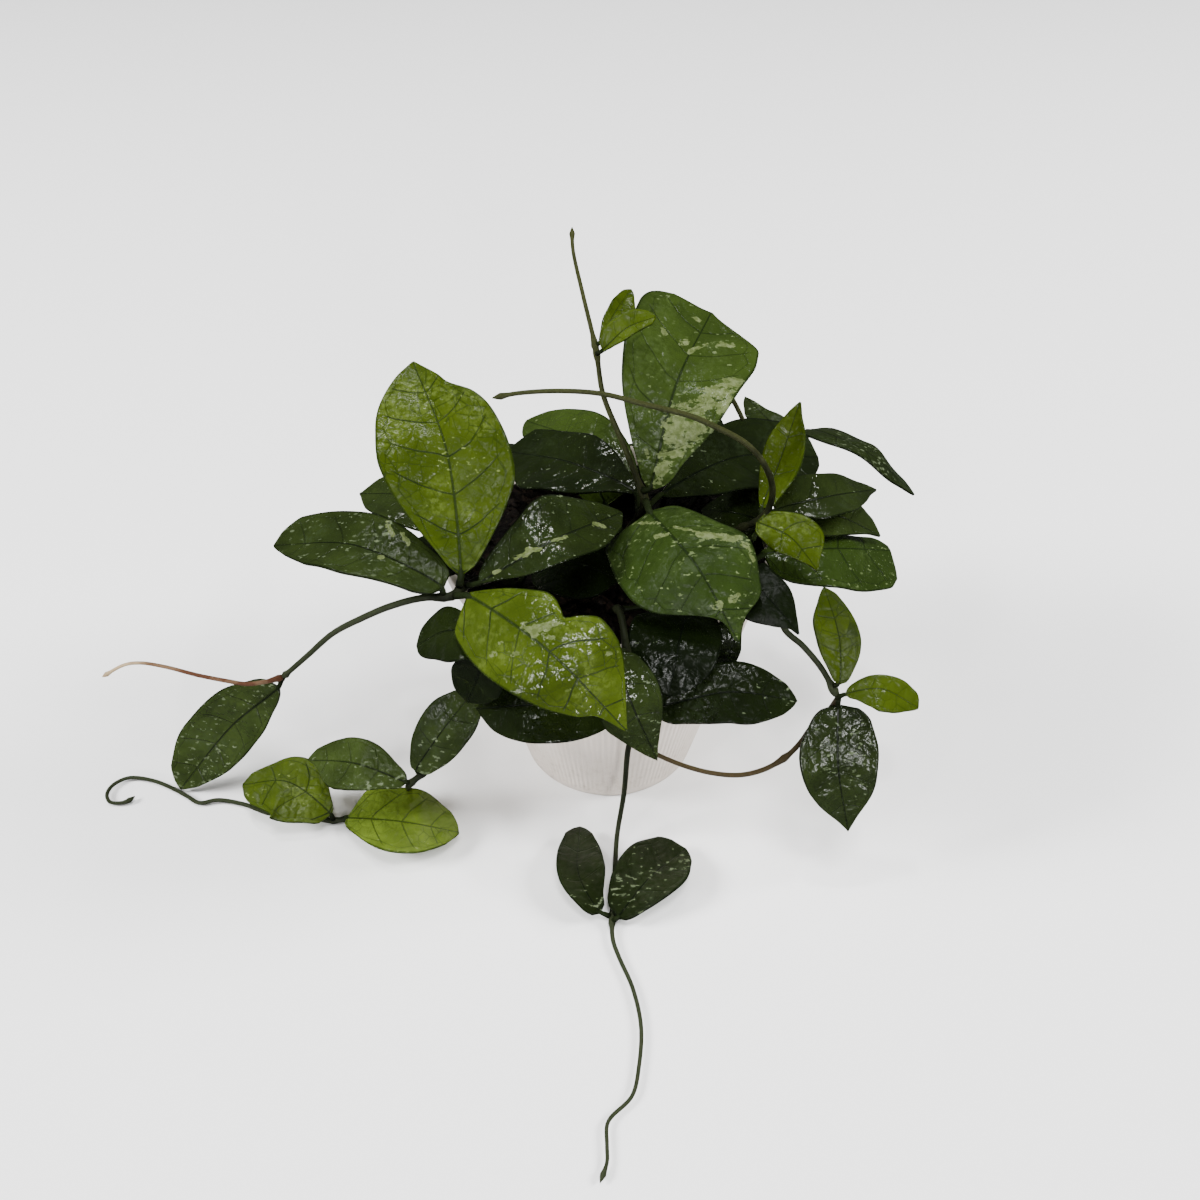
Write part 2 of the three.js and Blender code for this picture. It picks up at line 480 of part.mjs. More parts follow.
// The pot's wall, rim and floor, with shallow ribs up the outside of the wall
function potBody() {
  const { rim, height, wall, lip, lipHeight, floor, corner } = POT;
  const lipFoot = height - lipHeight;
  const profile = [
    [0, 0],
    [potRadius(0) - corner, 0],
    [potRadius(corner), corner],
    [potRadius(RIBS.bottom), RIBS.bottom],
    [potRadius(RIBS.top), RIBS.top],
    [potRadius(lipFoot), lipFoot],
    [rim, lipFoot + corner],
    [rim, height - corner],
    [rim - corner, height],
    [rim - lip - wall, height],
    [potRadius(floor) - wall, floor],
    [0, floor],
  ];
  const geometry = turned(profile, 2 * RIBS.count);
  const corners = geometry.attributes.position;
  for (let i = 0; i < corners.count; i += 1) {
    const [x, y, z] = [corners.getX(i), corners.getY(i), corners.getZ(i)];
    const sector = Math.round((Math.atan2(y, x) * RIBS.count) / Math.PI);
    const outside = Math.hypot(x, y) > potRadius(z) - wall / 2;
    const ribbed = z > (RIBS.bottom + corner) / 2 && z < (RIBS.top + lipFoot) / 2;
    if (outside && ribbed && Math.abs(sector % 2) === 1) {
      const inset = 1 - RIBS.depth / potRadius(z);
      corners.setXYZ(i, x * inset, y * inset, z);
    }
  }
  return geometry;
}

function potGeometry() {
  let solid = toManifold(potBody());
  for (let i = 0; i < DRAINS.count; i += 1) {
    const angle = (2 * Math.PI * (i + 0.5)) / DRAINS.count;
    const plug = new THREE.CylinderGeometry(DRAINS.radius, DRAINS.radius, 3 * POT.floor, DRAINS.sides);
    plug.rotateX(Math.PI / 2);
    plug.translate(DRAINS.ring * Math.cos(angle), DRAINS.ring * Math.sin(angle), POT.floor / 2);
    plug.deleteAttribute("normal");
    plug.deleteAttribute("uv");
    solid = solid.subtract(toManifold(BufferGeometryUtils.mergeVertices(plug)));
  }
  return fromManifold(solid);
}

// The potting mix: it fills the pot up to a lumpy top, with a plain hole for each stem
function soilGeometry(stems) {
  const inner = (z) => potRadius(z) - POT.wall - GAP;
  const bottom = POT.floor + GAP;
  const topRadius = inner(SOIL.top);
  const top = Array.from({ length: SOIL.rings + 1 }, (_, i) => [topRadius * (1 - i / SOIL.rings), SOIL.top]);
  const geometry = turned([[0, bottom], [inner(bottom), bottom], ...top], SOIL.sectors);
  const corners = geometry.attributes.position;
  for (let i = 0; i < corners.count; i += 1) {
    const [x, y, z] = [corners.getX(i), corners.getY(i), corners.getZ(i)];
    const fromWall = Math.min(1, (topRadius - Math.hypot(x, y)) / SOIL.levelEdge);
    if (z > SOIL.top / 2 && fromWall > 0) {
      corners.setZ(i, z + SOIL.lump * fromWall * (Math.sin(x / 7 + 1) + Math.cos(y / 6 - x / 11)));
    }
  }
  let solid = toManifold(geometry);
  for (const stem of Object.values(stems)) {
    const hole = tube(stem.curve, HOLE.rings, () => stem.thick + 2 * GAP, HOLE.sides);
    solid = solid.subtract(toManifold(hole));
  }
  return fromManifold(solid);
}

function addPiece(group, name, slot, geometry) {
  const material = new THREE.MeshStandardMaterial({ ...FINISH[slot], metalness: 0, name: slot });
  const mesh = new THREE.Mesh(geometry, material);
  mesh.name = name;
  group.add(mesh);
  return mesh;
}

// Where each leaf leaves its stem, found before the stems are made so that they swell there
function readStems() {
  const stems = {};
  for (const [name, stem] of Object.entries(STEMS)) {
    stems[name] = { ...stem, curve: smoothPath(stem.route), joints: [] };
  }
  for (const leaf of LEAVES) {
    leaf.joint = nearestOn(stems[leaf.on].curve, leaf.base);
    stems[leaf.on].joints.push(leaf.joint.distance);
  }
  return stems;
}

function addStems(group, stems) {
  for (const [name, stem] of Object.entries(stems)) {
    const geometry = tube(stem.curve, stemDistances(stem), (d) => stemRadius(stem, d), STEM.sides);
    addPiece(group, `stem_${name}`, "stem", geometry);
  }
}

// A shoot starts a hair from the round side of the stem's end
function addShoots(group, stems) {
  for (const [name, shoot] of Object.entries(SHOOTS)) {
    const stem = stems[shoot.from];
    const joint = nearestOn(stem.curve, shoot.route[0]);
    const outward = shoot.route[0].clone().sub(joint.place).normalize();
    const reach = stemRadius(stem, joint.distance) + GAP;
    const start = joint.place.clone().addScaledVector(outward, reach);
    const curve = smoothPath([start, ...shoot.route]);
    const made = { ...shoot, curve, joints: [] };
    const geometry = tube(curve, stemDistances(made), (d) => stemRadius(made, d), STEM.sides);
    addPiece(group, name, "stem_brown", geometry);
  }
}

function addLeaves(group, stems) {
  for (const leaf of LEAVES) {
    const { place, distance } = leaf.joint;
    const outward = leaf.base.clone().sub(place).normalize();
    const start = place.clone().addScaledVector(outward, stemRadius(stems[leaf.on], distance) + GAP);
    const mesh = addPiece(group, leaf.name, leaf.tone, leafGeometry(leaf, start, outward));
    mesh.geometry.translate(-start.x, -start.y, -start.z);
    mesh.position.copy(start);
  }
}

function buildPlant() {
  const group = new THREE.Group();
  const stems = readStems();
  addPiece(group, "pot", "pot", potGeometry());
  addPiece(group, "soil", "soil", soilGeometry(stems));
  addStems(group, stems);
  addShoots(group, stems);
  addLeaves(group, stems);
  return group;
}

export default buildPlant();
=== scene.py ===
# %% [markdown]
# A potted hoya dressed for the camera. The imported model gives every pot, stem and leaf its place and
# size. This script loads it as a fixed frame, makes a finer piece for each of its nodes, and gives each
# finish a material made of nodes. Lengths in the tables are in millimetres, and Blender's are in metres.

# %% Load the frame
import math
import random

import bpy
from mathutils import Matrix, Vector, noise


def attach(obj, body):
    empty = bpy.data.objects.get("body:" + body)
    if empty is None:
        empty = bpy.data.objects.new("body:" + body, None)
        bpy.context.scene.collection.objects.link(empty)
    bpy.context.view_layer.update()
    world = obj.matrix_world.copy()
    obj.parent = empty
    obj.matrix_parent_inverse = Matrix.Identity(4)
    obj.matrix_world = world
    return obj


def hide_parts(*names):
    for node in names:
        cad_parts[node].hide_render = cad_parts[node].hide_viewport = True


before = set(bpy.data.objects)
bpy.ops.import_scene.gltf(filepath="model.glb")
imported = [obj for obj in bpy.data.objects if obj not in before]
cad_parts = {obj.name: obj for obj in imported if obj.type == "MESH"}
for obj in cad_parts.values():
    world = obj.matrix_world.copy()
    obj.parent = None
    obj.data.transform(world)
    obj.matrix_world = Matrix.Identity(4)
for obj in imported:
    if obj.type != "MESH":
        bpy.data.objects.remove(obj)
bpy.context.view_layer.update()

MM = 0.001
random.seed(11)

# %% [markdown]
# The plant was measured from one viewpoint, so most places are given as that viewpoint sees them: how far
# across and down its picture, and how high above the table. `seen` turns the three numbers into a place.
# The camera stands at the same viewpoint, and looks down just as steeply.

# %% The viewpoint
VIEW = Vector((-4.5, -428.7, 449.1))
FALL = math.radians(40)
FOCAL = 1200
MIDDLE = 600
SENSOR_WIDTH = 36


def seen(place):
    across, down, height = place
    right = across - MIDDLE
    up = MIDDLE - down
    ray = Vector((
        right,
        FOCAL * math.cos(FALL) + up * math.sin(FALL),
        up * math.cos(FALL) - FOCAL * math.sin(FALL),
    ))
    return ray * ((height - VIEW.z) / ray.z) + VIEW


def picture_of(place):
    """Where a place shows in the viewpoint's picture: the reverse of `seen`."""
    away = place - VIEW
    depth = math.cos(FALL) * away.y - math.sin(FALL) * away.z
    up = math.sin(FALL) * away.y + math.cos(FALL) * away.z
    return MIDDLE + FOCAL * away.x / depth, MIDDLE - FOCAL * up / depth


def add_object(name, data):
    made = bpy.data.objects.new(name, data)
    bpy.context.collection.objects.link(made)
    return made


camera_data = bpy.data.cameras.new("camera")
camera_data.sensor_width = SENSOR_WIDTH
camera_data.lens = SENSOR_WIDTH * FOCAL / (2 * MIDDLE)
camera = add_object("camera", camera_data)
camera.location = VIEW * MM
camera.rotation_euler = (math.pi / 2 - FALL, 0, 0)
bpy.context.scene.camera = camera
print("camera lens in mm:", camera_data.lens)

# %% [markdown]
# Where each stem runs, from the root up, is listed, as a grower would bend a wire. A row holds the
# stem's radius at the root and at the tip, its places near the root, measured from the middle of the
# pot's foot, and then its places as the viewpoint sees them. A bare shoot's row holds the stem that it
# springs from, its two radii, where a bud sits, and its places.

# %% Routes of the stems and the bare shoots
STEMS = {
    "left": (1.7, 1.25,
        [(-34, -24, 101), (-39, -31, 122), (-50, -44, 138)],
        [(462, 588, 142), (452, 596, 143), (422, 598, 142), (391, 606, 137), (358, 620, 126),
         (332, 634, 110), (307, 656, 90), (283, 677, 70)]),
    "centre": (1.8, 0.75,
        [(4, 8, 101), (6, 2, 124)],
        [(645, 502, 155), (638, 481, 163), (622, 441, 181), (603, 394, 198), (596, 350, 213),
         (583, 295, 231), (573, 250, 244), (572, 227, 250)]),
    "right": (1.7, 0.85,
        [(36, -2, 101), (42, -6, 122), (55, -13, 140)],
        [(763, 518, 152), (771, 502, 161), (772, 484, 173), (762, 461, 189), (745, 443, 201),
         (718, 428, 211), (690, 416, 218), (643, 404, 225), (603, 394, 229), (563, 391, 230),
         (520, 393, 229), (492, 398, 227)]),
    "right_back": (1.7, 1.2,
        [(34, 30, 101), (40, 34, 123), (56, 44, 134), (78, 56, 137)],
        [(806, 440, 137)]),
    "behind": (1.5, 0.9,
        [(22, 32, 101), (26, 34, 124), (38, 40, 150), (49, 50, 172)],
        [(742, 418, 183), (733, 401, 189), (712, 378, 195), (690, 362, 199)]),
    "right_low": (1.7, 1.3,
        [(44, -20, 101), (50, -25, 123), (60, -36, 132), (71, -46, 128)],
        [(784, 628, 117), (803, 646, 111), (822, 669, 103), (838, 698, 94)]),
    "left_low": (1.7, 0.9,
        [(-20, -40, 101), (-27, -49, 123), (-37, -63, 133), (-46, -72, 121), (-52, -65, 98), (-56, -55, 76),
         (-70, -60, 54)],
        [(411, 783, 40), (409, 787, 22), (405, 791, 7), (394, 798, 2.8), (370, 810, 2.6), (340, 820, 2.6),
         (307, 818, 2.6), (268, 813, 2.4), (243, 804, 2.2), (217, 800, 2.2), (200, 803, 2), (187, 796, 2),
         (174, 789, 2), (151, 780, 2), (128, 778, 2), (113, 785, 2), (107, 794, 2), (110, 802, 2),
         (119, 803, 2), (128, 801, 2), (135, 796, 2)]),
    "front": (1.7, 0.75,
        [(0, -38, 101), (1, -46, 122), (4, -66, 136), (7, -83, 123)],
        [(638, 704, 98), (634, 728, 78), (628, 750, 60), (624, 793, 29), (617, 836, 7), (615, 868, 2.6),
         (612, 920, 2.4), (613, 940, 2.2), (619, 957, 2), (633, 989, 2), (641, 1026, 2), (639, 1066, 2),
         (632, 1096, 2), (608, 1122, 2), (607, 1145, 2), (607, 1162, 2), (600, 1183, 2)]),
    "back": (1.7, 0.9,
        [(-8, 38, 101), (-10, 46, 123), (-14, 66, 134), (-18, 84, 126), (-22, 91, 104), (-26, 92, 74),
         (-30, 93, 44), (-33, 103, 16), (-36, 122, 2.6), (-44, 146, 2.2), (-60, 166, 2), (-82, 176, 2)],
        []),
}
SHOOTS = {
    "shoot_left": ("left", 1.1, 0.75, (279, 678, 71),
        [(264, 682, 72), (247, 684, 72), (227, 681, 74), (197, 675, 76), (166, 667, 76), (141, 663, 74),
         (124, 665, 70), (102, 677, 62)]),
    "shoot_right": ("right_low", 1.3, 1, (784, 759, 66),
        [(826, 714, 80), (811, 728, 75), (800, 743, 71), (787, 756, 67), (765, 769, 64), (740, 775, 64),
         (712, 773, 66), (685, 766, 70), (658, 755, 76), (634, 742, 84)]),
}
print("stems:", len(STEMS), "shoots:", len(SHOOTS))

# %% [markdown]
# Each leaf is a row of measures: the stem it grows on, its tone, how light, how plain and how dull it is,
# its greatest width, how far its edges cup upwards, how high they wave, the way its upper face looks, and
# three places along its rib. The viewpoint can't see the leaves named in UNSEEN, so their places are
# measured from the middle of the pot's foot.

# %% Measures of the leaves
TO_VIEW = (0, -0.75, 0.66)
UPWARD = (0, -0.35, 0.94)
FLAT = (0, 0, 1)
LEAVES = [
    ("left_up", "left", "lime", (0.1, 0.2, 0.5), 56, 0.12, 1.4, TO_VIEW,
     (461, 574, 150), (447, 452, 188), (413, 362, 210)),
    ("left_front", "left", "lime", (0.18, 0.2, 0), 54, -0.1, 2.2, TO_VIEW,
     (468, 596, 148), (545, 648, 146), (626, 730, 112)),
    ("left_out", "left", "dark", (0.55, 0.1, 0.6), 34, 0.12, 0.8, (0, -0.2, 0.98),
     (442, 587, 148), (356, 546, 155), (274, 546, 146)),
    ("left_in", "left", "dark", (0.32, 0.3, 0), 39, 0.04, 0.8, UPWARD,
     (479, 583, 147), (553, 541, 162), (622, 513, 156)),
    ("left_behind", "left", "dark", (0.6, 0.8, 0.2), 30, 0.1, 0.6, UPWARD,
     (446, 530, 134), (408, 498, 138), (360, 494, 132)),
    ("left_under", "left", "dark", (0.15, 1, 0.3), 21, 0.1, 0.3, UPWARD,
     (456, 572, 138), (436, 557, 140), (411, 543, 137)),
    ("left_end", "left", "dark", (0.88, 0, 0.3), 35, 0.1, 0.8, (0.3, -0.6, 0.75),
     (278, 688, 62), (232, 726, 38), (181, 789, 2.5)),
    ("centre_up", "centre", "green", (0.6, 0, 0.6), 58, 0.1, 1.6, TO_VIEW,
     (650, 488, 164), (675, 388, 202), (711, 313, 214)),
    ("centre_left", "centre", "dark", (0.15, 0.5, 0), 42, 0.06, 1.2, UPWARD,
     (636, 494, 150), (574, 464, 151), (508, 452, 143)),
    ("centre_right", "centre", "dark", (0.12, 0.4, 0), 44, 0.06, 1.2, UPWARD,
     (660, 495, 151), (738, 457, 151), (818, 458, 144)),
    ("centre_front", "centre", "green", (0.08, 0, 0.9), 62, -0.16, 1.6, (0, -0.6, 0.8),
     (650, 512, 158), (698, 568, 157), (738, 642, 134)),
    ("centre_back", "centre", "green", (0.5, 0.7, 0.2), 36, 0.1, 1.2, (0, -0.5, 0.87),
     (-2, 14, 134), (-18, 46, 147), (-40, 72, 142)),
    ("top_left", "centre", "lime", (0.08, 0.7, 0.2), 11, 0.2, 0, TO_VIEW,
     (600, 343, 216), (613, 316, 222), (631, 290, 227)),
    ("top_right", "centre", "lime", (0.2, 0.7, 0.5), 13, 0.2, 0, TO_VIEW,
     (603, 350, 219), (627, 328, 227), (656, 317, 230)),
    ("right_up", "right", "lime", (0.1, 0.6, 0.1), 20, 0.15, 0.4, (-0.4, -0.75, 0.5),
     (762, 508, 153), (781, 458, 168), (800, 402, 186)),
    ("right_low", "right", "lime", (0.05, 0.3, 0.5), 22, 0.1, 0.5, TO_VIEW,
     (758, 522, 152), (790, 537, 150), (818, 571, 141)),
    ("right_in", "right", "dark", (0.15, 0.4, 0.2), 28, 0.05, 0.5, UPWARD,
     (764, 523, 131), (738, 514, 134), (701, 510, 130)),
    ("back_grey", "right_back", "dark", (0.35, 0.3, 1), 17, 0.1, 0.8, UPWARD,
     (802, 434, 142), (779, 428, 147), (745, 397, 151)),
    ("arching", "right_back", "dark", (0.35, 0.2, 0.6), 28, -0.05, 0.6, (0.1, 0.2, 0.97),
     (808, 430, 143), (864, 451, 144), (914, 495, 124)),
    ("right_upper", "right", "dark", (0.42, 0.5, 0), 29, 0.06, 0.8, UPWARD,
     (776, 510, 148), (828, 497, 151), (876, 490, 142)),
    ("right_middle", "right", "dark", (0.65, 0.5, 0), 34, 0.02, 0.8, UPWARD,
     (774, 520, 138), (828, 514, 141), (880, 536, 130)),
    ("right_round", "right_low", "green", (0.1, 0.2, 0.3), 37, -0.22, 0.8, UPWARD,
     (763, 555, 131), (828, 549, 132), (890, 551, 121)),
    ("right_down", "right_low", "dark", (0, 0.9, 1), 28, -0.1, 0.6, (0.2, -0.75, 0.6),
     (742, 572, 142), (768, 598, 141), (799, 634, 130)),
    ("sprig_up", "right_low", "lime", (0.06, 0.6, 0.8), 20, 0.1, 0.5, TO_VIEW,
     (839, 684, 101), (839, 638, 117), (824, 587, 132)),
    ("sprig_right", "right_low", "lime", (0.1, 0.7, 0.4), 15, 0.05, 0.5, (0, -0.6, 0.8),
     (846, 694, 98), (881, 689, 104), (918, 708, 97)),
    ("sprig_down", "right_low", "dark", (0.5, 0.4, 0.35), 34, 0.12, 0.6, (0, -0.85, 0.5),
     (838, 706, 89), (838, 766, 67), (848, 831, 36)),
    ("front_left", "front", "dark", (0.15, 0.7, 0), 32, 0.03, 0.6, (0, -0.6, 0.8),
     (624, 704, 101), (548, 704, 106), (476, 709, 96)),
    ("front_right", "front", "dark", (0.1, 0.4, 0.5), 28, 0.1, 0.8, (0, -0.7, 0.7),
     (656, 706, 101), (730, 692, 106), (797, 701, 100)),
    ("front_point", "front", "dark", (0.55, 0.4, 0), 30, -0.1, 0.8, (0.1, -0.85, 0.5),
     (612, 652, 134), (630, 700, 120), (657, 760, 90)),
    ("front_shade", "front", "dark", (0, 0.9, 0.5), 37, 0.05, 1, (0, -0.75, 0.66),
     (682, 606, 132), (678, 648, 129), (668, 697, 113)),
    ("front_under", "right_low", "dark", (0.15, 0.4, 0.2), 13, 0.05, 0.8, (0.1, -0.75, 0.66),
     (745, 612, 129), (734, 640, 121), (724, 667, 108)),
    ("side_out", "left_low", "dark", (0.2, 0.8, 0.3), 23, 0.05, 0.6, UPWARD,
     (480, 634, 136), (448, 631, 134), (417, 646, 124)),
    ("side_down", "left_low", "dark", (0.05, 0.8, 0.3), 22, 0.05, 0.6, (-0.1, -0.8, 0.55),
     (486, 652, 132), (478, 677, 118), (468, 702, 102)),
    ("low_up", "left_low", "dark", (0.65, 0.1, 0.6), 23, 0.08, 0.6, (0, -0.8, 0.6),
     (416, 771, 50), (440, 734, 68), (473, 692, 84)),
    ("low_out", "left_low", "dark", (1, 0.1, 0.5), 24, 0.05, 0.6, (0, -0.6, 0.8),
     (406, 782, 42), (358, 764, 46), (308, 760, 36)),
    ("table_fold", "left_low", "lime", (0.22, 0.2, 0.7), 27, 0.15, 0.8, (0, -0.45, 0.9),
     (331, 814, 9), (288, 782, 20), (243, 785, 18)),
    ("table_lime", "left_low", "lime", (0.95, 0, 0.5), 36, 0.03, 0.6, FLAT,
     (347, 818, 9), (402, 822, 13), (459, 833, 7)),
    ("tail_left", "front", "dark", (0.14, 0.4, 0.9), 22, 0.1, 0.4, FLAT,
     (600, 912, 6), (579, 876, 10), (580, 827, 7)),
    ("tail_right", "front", "dark", (0.14, 0.4, 1), 29, 0.1, 0.4, FLAT,
     (618, 917, 6), (648, 880, 11), (686, 849, 8)),
    ("heart_left", "left", "dark", (0, 1, 0.5), 36, 0.06, 1, UPWARD,
     (-34, -26, 130), (-20, -32, 138), (4, -40, 134)),
    ("heart_back", "right_back", "dark", (0.15, 0.4, 0.2), 38, 0.06, 1, FLAT,
     (46, 50, 133), (38, 68, 138), (24, 92, 126)),
    ("rear_left", "back", "dark", (0.15, 0.4, 0.2), 40, 0.06, 1, (-0.3, 0.4, 0.85),
     (-24, 59, 132), (-50, 58, 132), (-84, 54, 118)),
    ("rear_right", "back", "green", (0.4, 0.2, 0.3), 40, 0.08, 1, (0.2, 0.6, 0.75),
     (-8, 91, 114), (14, 97, 110), (36, 98, 88)),
    ("rear_low_left", "back", "dark", (0.15, 0.4, 0.2), 34, 0.08, 0.8, (-0.2, 0.85, 0.5),
     (-34, 98, 84), (-60, 102, 74), (-84, 100, 46)),
    ("rear_low_right", "back", "dark", (0.15, 0.4, 0.2), 34, 0.08, 0.8, (0.2, 0.85, 0.5),
     (-18, 99, 76), (6, 106, 68), (30, 102, 42)),
    ("rear_tail_left", "back", "lime", (0.25, 0.2, 0.3), 26, 0.08, 0.5, FLAT,
     (-44, 120, 6), (-66, 122, 12), (-92, 118, 6)),
    ("rear_tail_right", "back", "lime", (0.25, 0.2, 0.3), 28, 0.08, 0.5, FLAT,
     (-28, 124, 6), (-6, 132, 12), (18, 136, 6)),
]
UNSEEN = (
    "centre_back", "heart_left", "heart_back", "rear_left", "rear_right", "rear_low_left", "rear_low_right",
    "rear_tail_left", "rear_tail_right",
)
FIELDS = ("name", "on", "tone", "habit", "width", "cup", "wave", "face")
RIB = ("base", "middle", "tip")
leaves = [dict(zip(FIELDS + RIB, row)) for row in LEAVES]
for leaf in leaves:
    for part in RIB:
        leaf[part] = Vector(leaf[part]) if leaf["name"] in UNSEEN else seen(leaf[part])
print("leaves:", len(leaves))

# %% [markdown]
# A stem or a rib is a smooth curve through its places. A centripetal Catmull-Rom spline passes through
# every place and never loops back on itself where two places are close, which is why it is used here. A
# curve is walked at even steps, so that rings and leaf rows can be laid at any distance along it.

# %% Smooth paths
def blend(t, start, leave, end, reach):
    """A cubic curve from start to end, which it leaves and reaches at given slopes."""
    return ((2 * t ** 3 - 3 * t ** 2 + 1) * start + (t ** 3 - 2 * t ** 2 + t) * leave
            + (3 * t ** 2 - 2 * t ** 3) * end + (t ** 3 - t ** 2) * reach)


class Path:
    STEPS = 60
    SHORT = 0.4

    def __init__(self, places):
        ends = [2 * places[0] - places[1], *places, 2 * places[-1] - places[-2]]
        self.walk = [places[0].copy()]
        for p0, p1, p2, p3 in zip(ends, ends[1:], ends[2:], ends[3:]):
            g0, g1, g2 = (math.sqrt(max((b - a).length, 1e-6)) for a, b in ((p0, p1), (p1, p2), (p2, p3)))
            leave = ((p1 - p0) / g0 - (p2 - p0) / (g0 + g1) + (p2 - p1) / g1) * g1
            reach = ((p2 - p1) / g1 - (p3 - p1) / (g1 + g2) + (p3 - p2) / g2) * g1
            for step in range(1, self.STEPS + 1):
                self.walk.append(blend(step / self.STEPS, p1, leave, p2, reach))
        self.run = [0.0]
        for one, other in zip(self.walk, self.walk[1:]):
            self.run.append(self.run[-1] + (other - one).length)
        self.length = self.run[-1]

    def place(self, distance):
        distance = min(max(distance, 0), self.length)
        low, high = 0, len(self.run) - 1
        while high - low > 1:
            half = (low + high) // 2
            low, high = (half, high) if self.run[half] <= distance else (low, half)
        part = (distance - self.run[low]) / max(self.run[high] - self.run[low], 1e-9)
        return self.walk[low].lerp(self.walk[high], part)

    def along(self, distance):
        return (self.place(distance + self.SHORT) - self.place(distance - self.SHORT)).normalized()

    def nearest(self, point):
        best = min(range(len(self.walk)), key=lambda i: (self.walk[i] - point).length_squared)
        return self.walk[best], self.run[best]


def frames_along(path, distances, start, sideways):
    """Place, side and up at each distance, carried outwards from the one numbered `start`."""
    frames = [None] * len(distances)
    for order in (range(start, len(distances)), range(start, -1, -1)):
        side = sideways
        for i in order:
            along = path.along(distances[i])
            side = (side - along * side.dot(along)).normalized()
            frames[i] = (path.place(distances[i]), side, along.cross(side))
        sideways = frames[start][1]
    return frames


stems = {}
for name, (thick, thin, rooted, shown) in STEMS.items():
    route = [Vector(place) for place in rooted] + [seen(place) for place in shown]
    stems[name] = {"thick": thick, "thin": thin, "path": Path(route), "joints": []}
for leaf in leaves:
    stem = stems[leaf["on"]]
    leaf["joint"], leaf["joint_run"] = stem["path"].nearest(leaf["base"])
    stem["joints"].append(leaf["joint_run"])
print("stem lengths in mm:", {name: round(stem["path"].length) for name, stem in stems.items()})

# %% [markdown]
# Every piece is dressed in the same two steps: it rides on the plant's one body, and it stands for its
# solid. Helpers keep that short, and turn colours as a painter writes them into the linear numbers that a
# shader needs.

# %% Helpers for pieces and colours
def linear(red, green, blue):
    values = [v / 255 for v in (red, green, blue)]
    return (*(v / 12.92 if v <= 0.04045 else ((v + 0.055) / 1.055) ** 2.4 for v in values), 1)


def smooth(low, high, value):
    part = min(max((value - low) / (high - low), 0), 1)
    return part * part * (3 - 2 * part)


def dress(piece, slot, *nodes):
    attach(piece, "root")
    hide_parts(*nodes)


def deselect():
    if bpy.context.mode != "OBJECT":
        bpy.ops.object.mode_set(mode="OBJECT")
    bpy.ops.object.select_all(action="DESELECT")


def active_only(piece):
    deselect()
    piece.select_set(True)
    bpy.context.view_layer.objects.active = piece


def apply_to(piece, modifier):
    active_only(piece)
    bpy.ops.object.modifier_apply(modifier=modifier.name)


def face_outwards():
    """Turn the faces of the active piece outwards, and leave edit mode."""
    bpy.ops.object.mode_set(mode="EDIT")
    bpy.ops.mesh.select_all(action="SELECT")
    bpy.ops.mesh.normals_make_consistent(inside=False)
    bpy.ops.object.mode_set(mode="OBJECT")


def shade_smooth(mesh):
    mesh.polygons.foreach_set("use_smooth", [True] * len(mesh.polygons))


def store(mesh, name, numbers):
    """Keep three numbers for each corner of a mesh, where the shader can read them."""
    mesh.attributes.new(name, "FLOAT_VECTOR", "POINT").data.foreach_set("vector", numbers)


def joined(name, pieces):
    deselect()
    for piece in pieces:
        piece.select_set(True)
    bpy.context.view_layer.objects.active = pieces[0]
    bpy.ops.object.join()
    pieces[0].name = name
    return pieces[0]


def triangles(piece):
    return sum(len(face.vertices) - 2 for face in piece.data.polygons)


print("white in linear numbers:", linear(255, 255, 255))

# %% [markdown]
# Materials are small graphs of nodes. `Graph` adds a node, sets its inputs and links it in one line, so
# that a material reads as a list of layers from the ground colour up to the gloss.

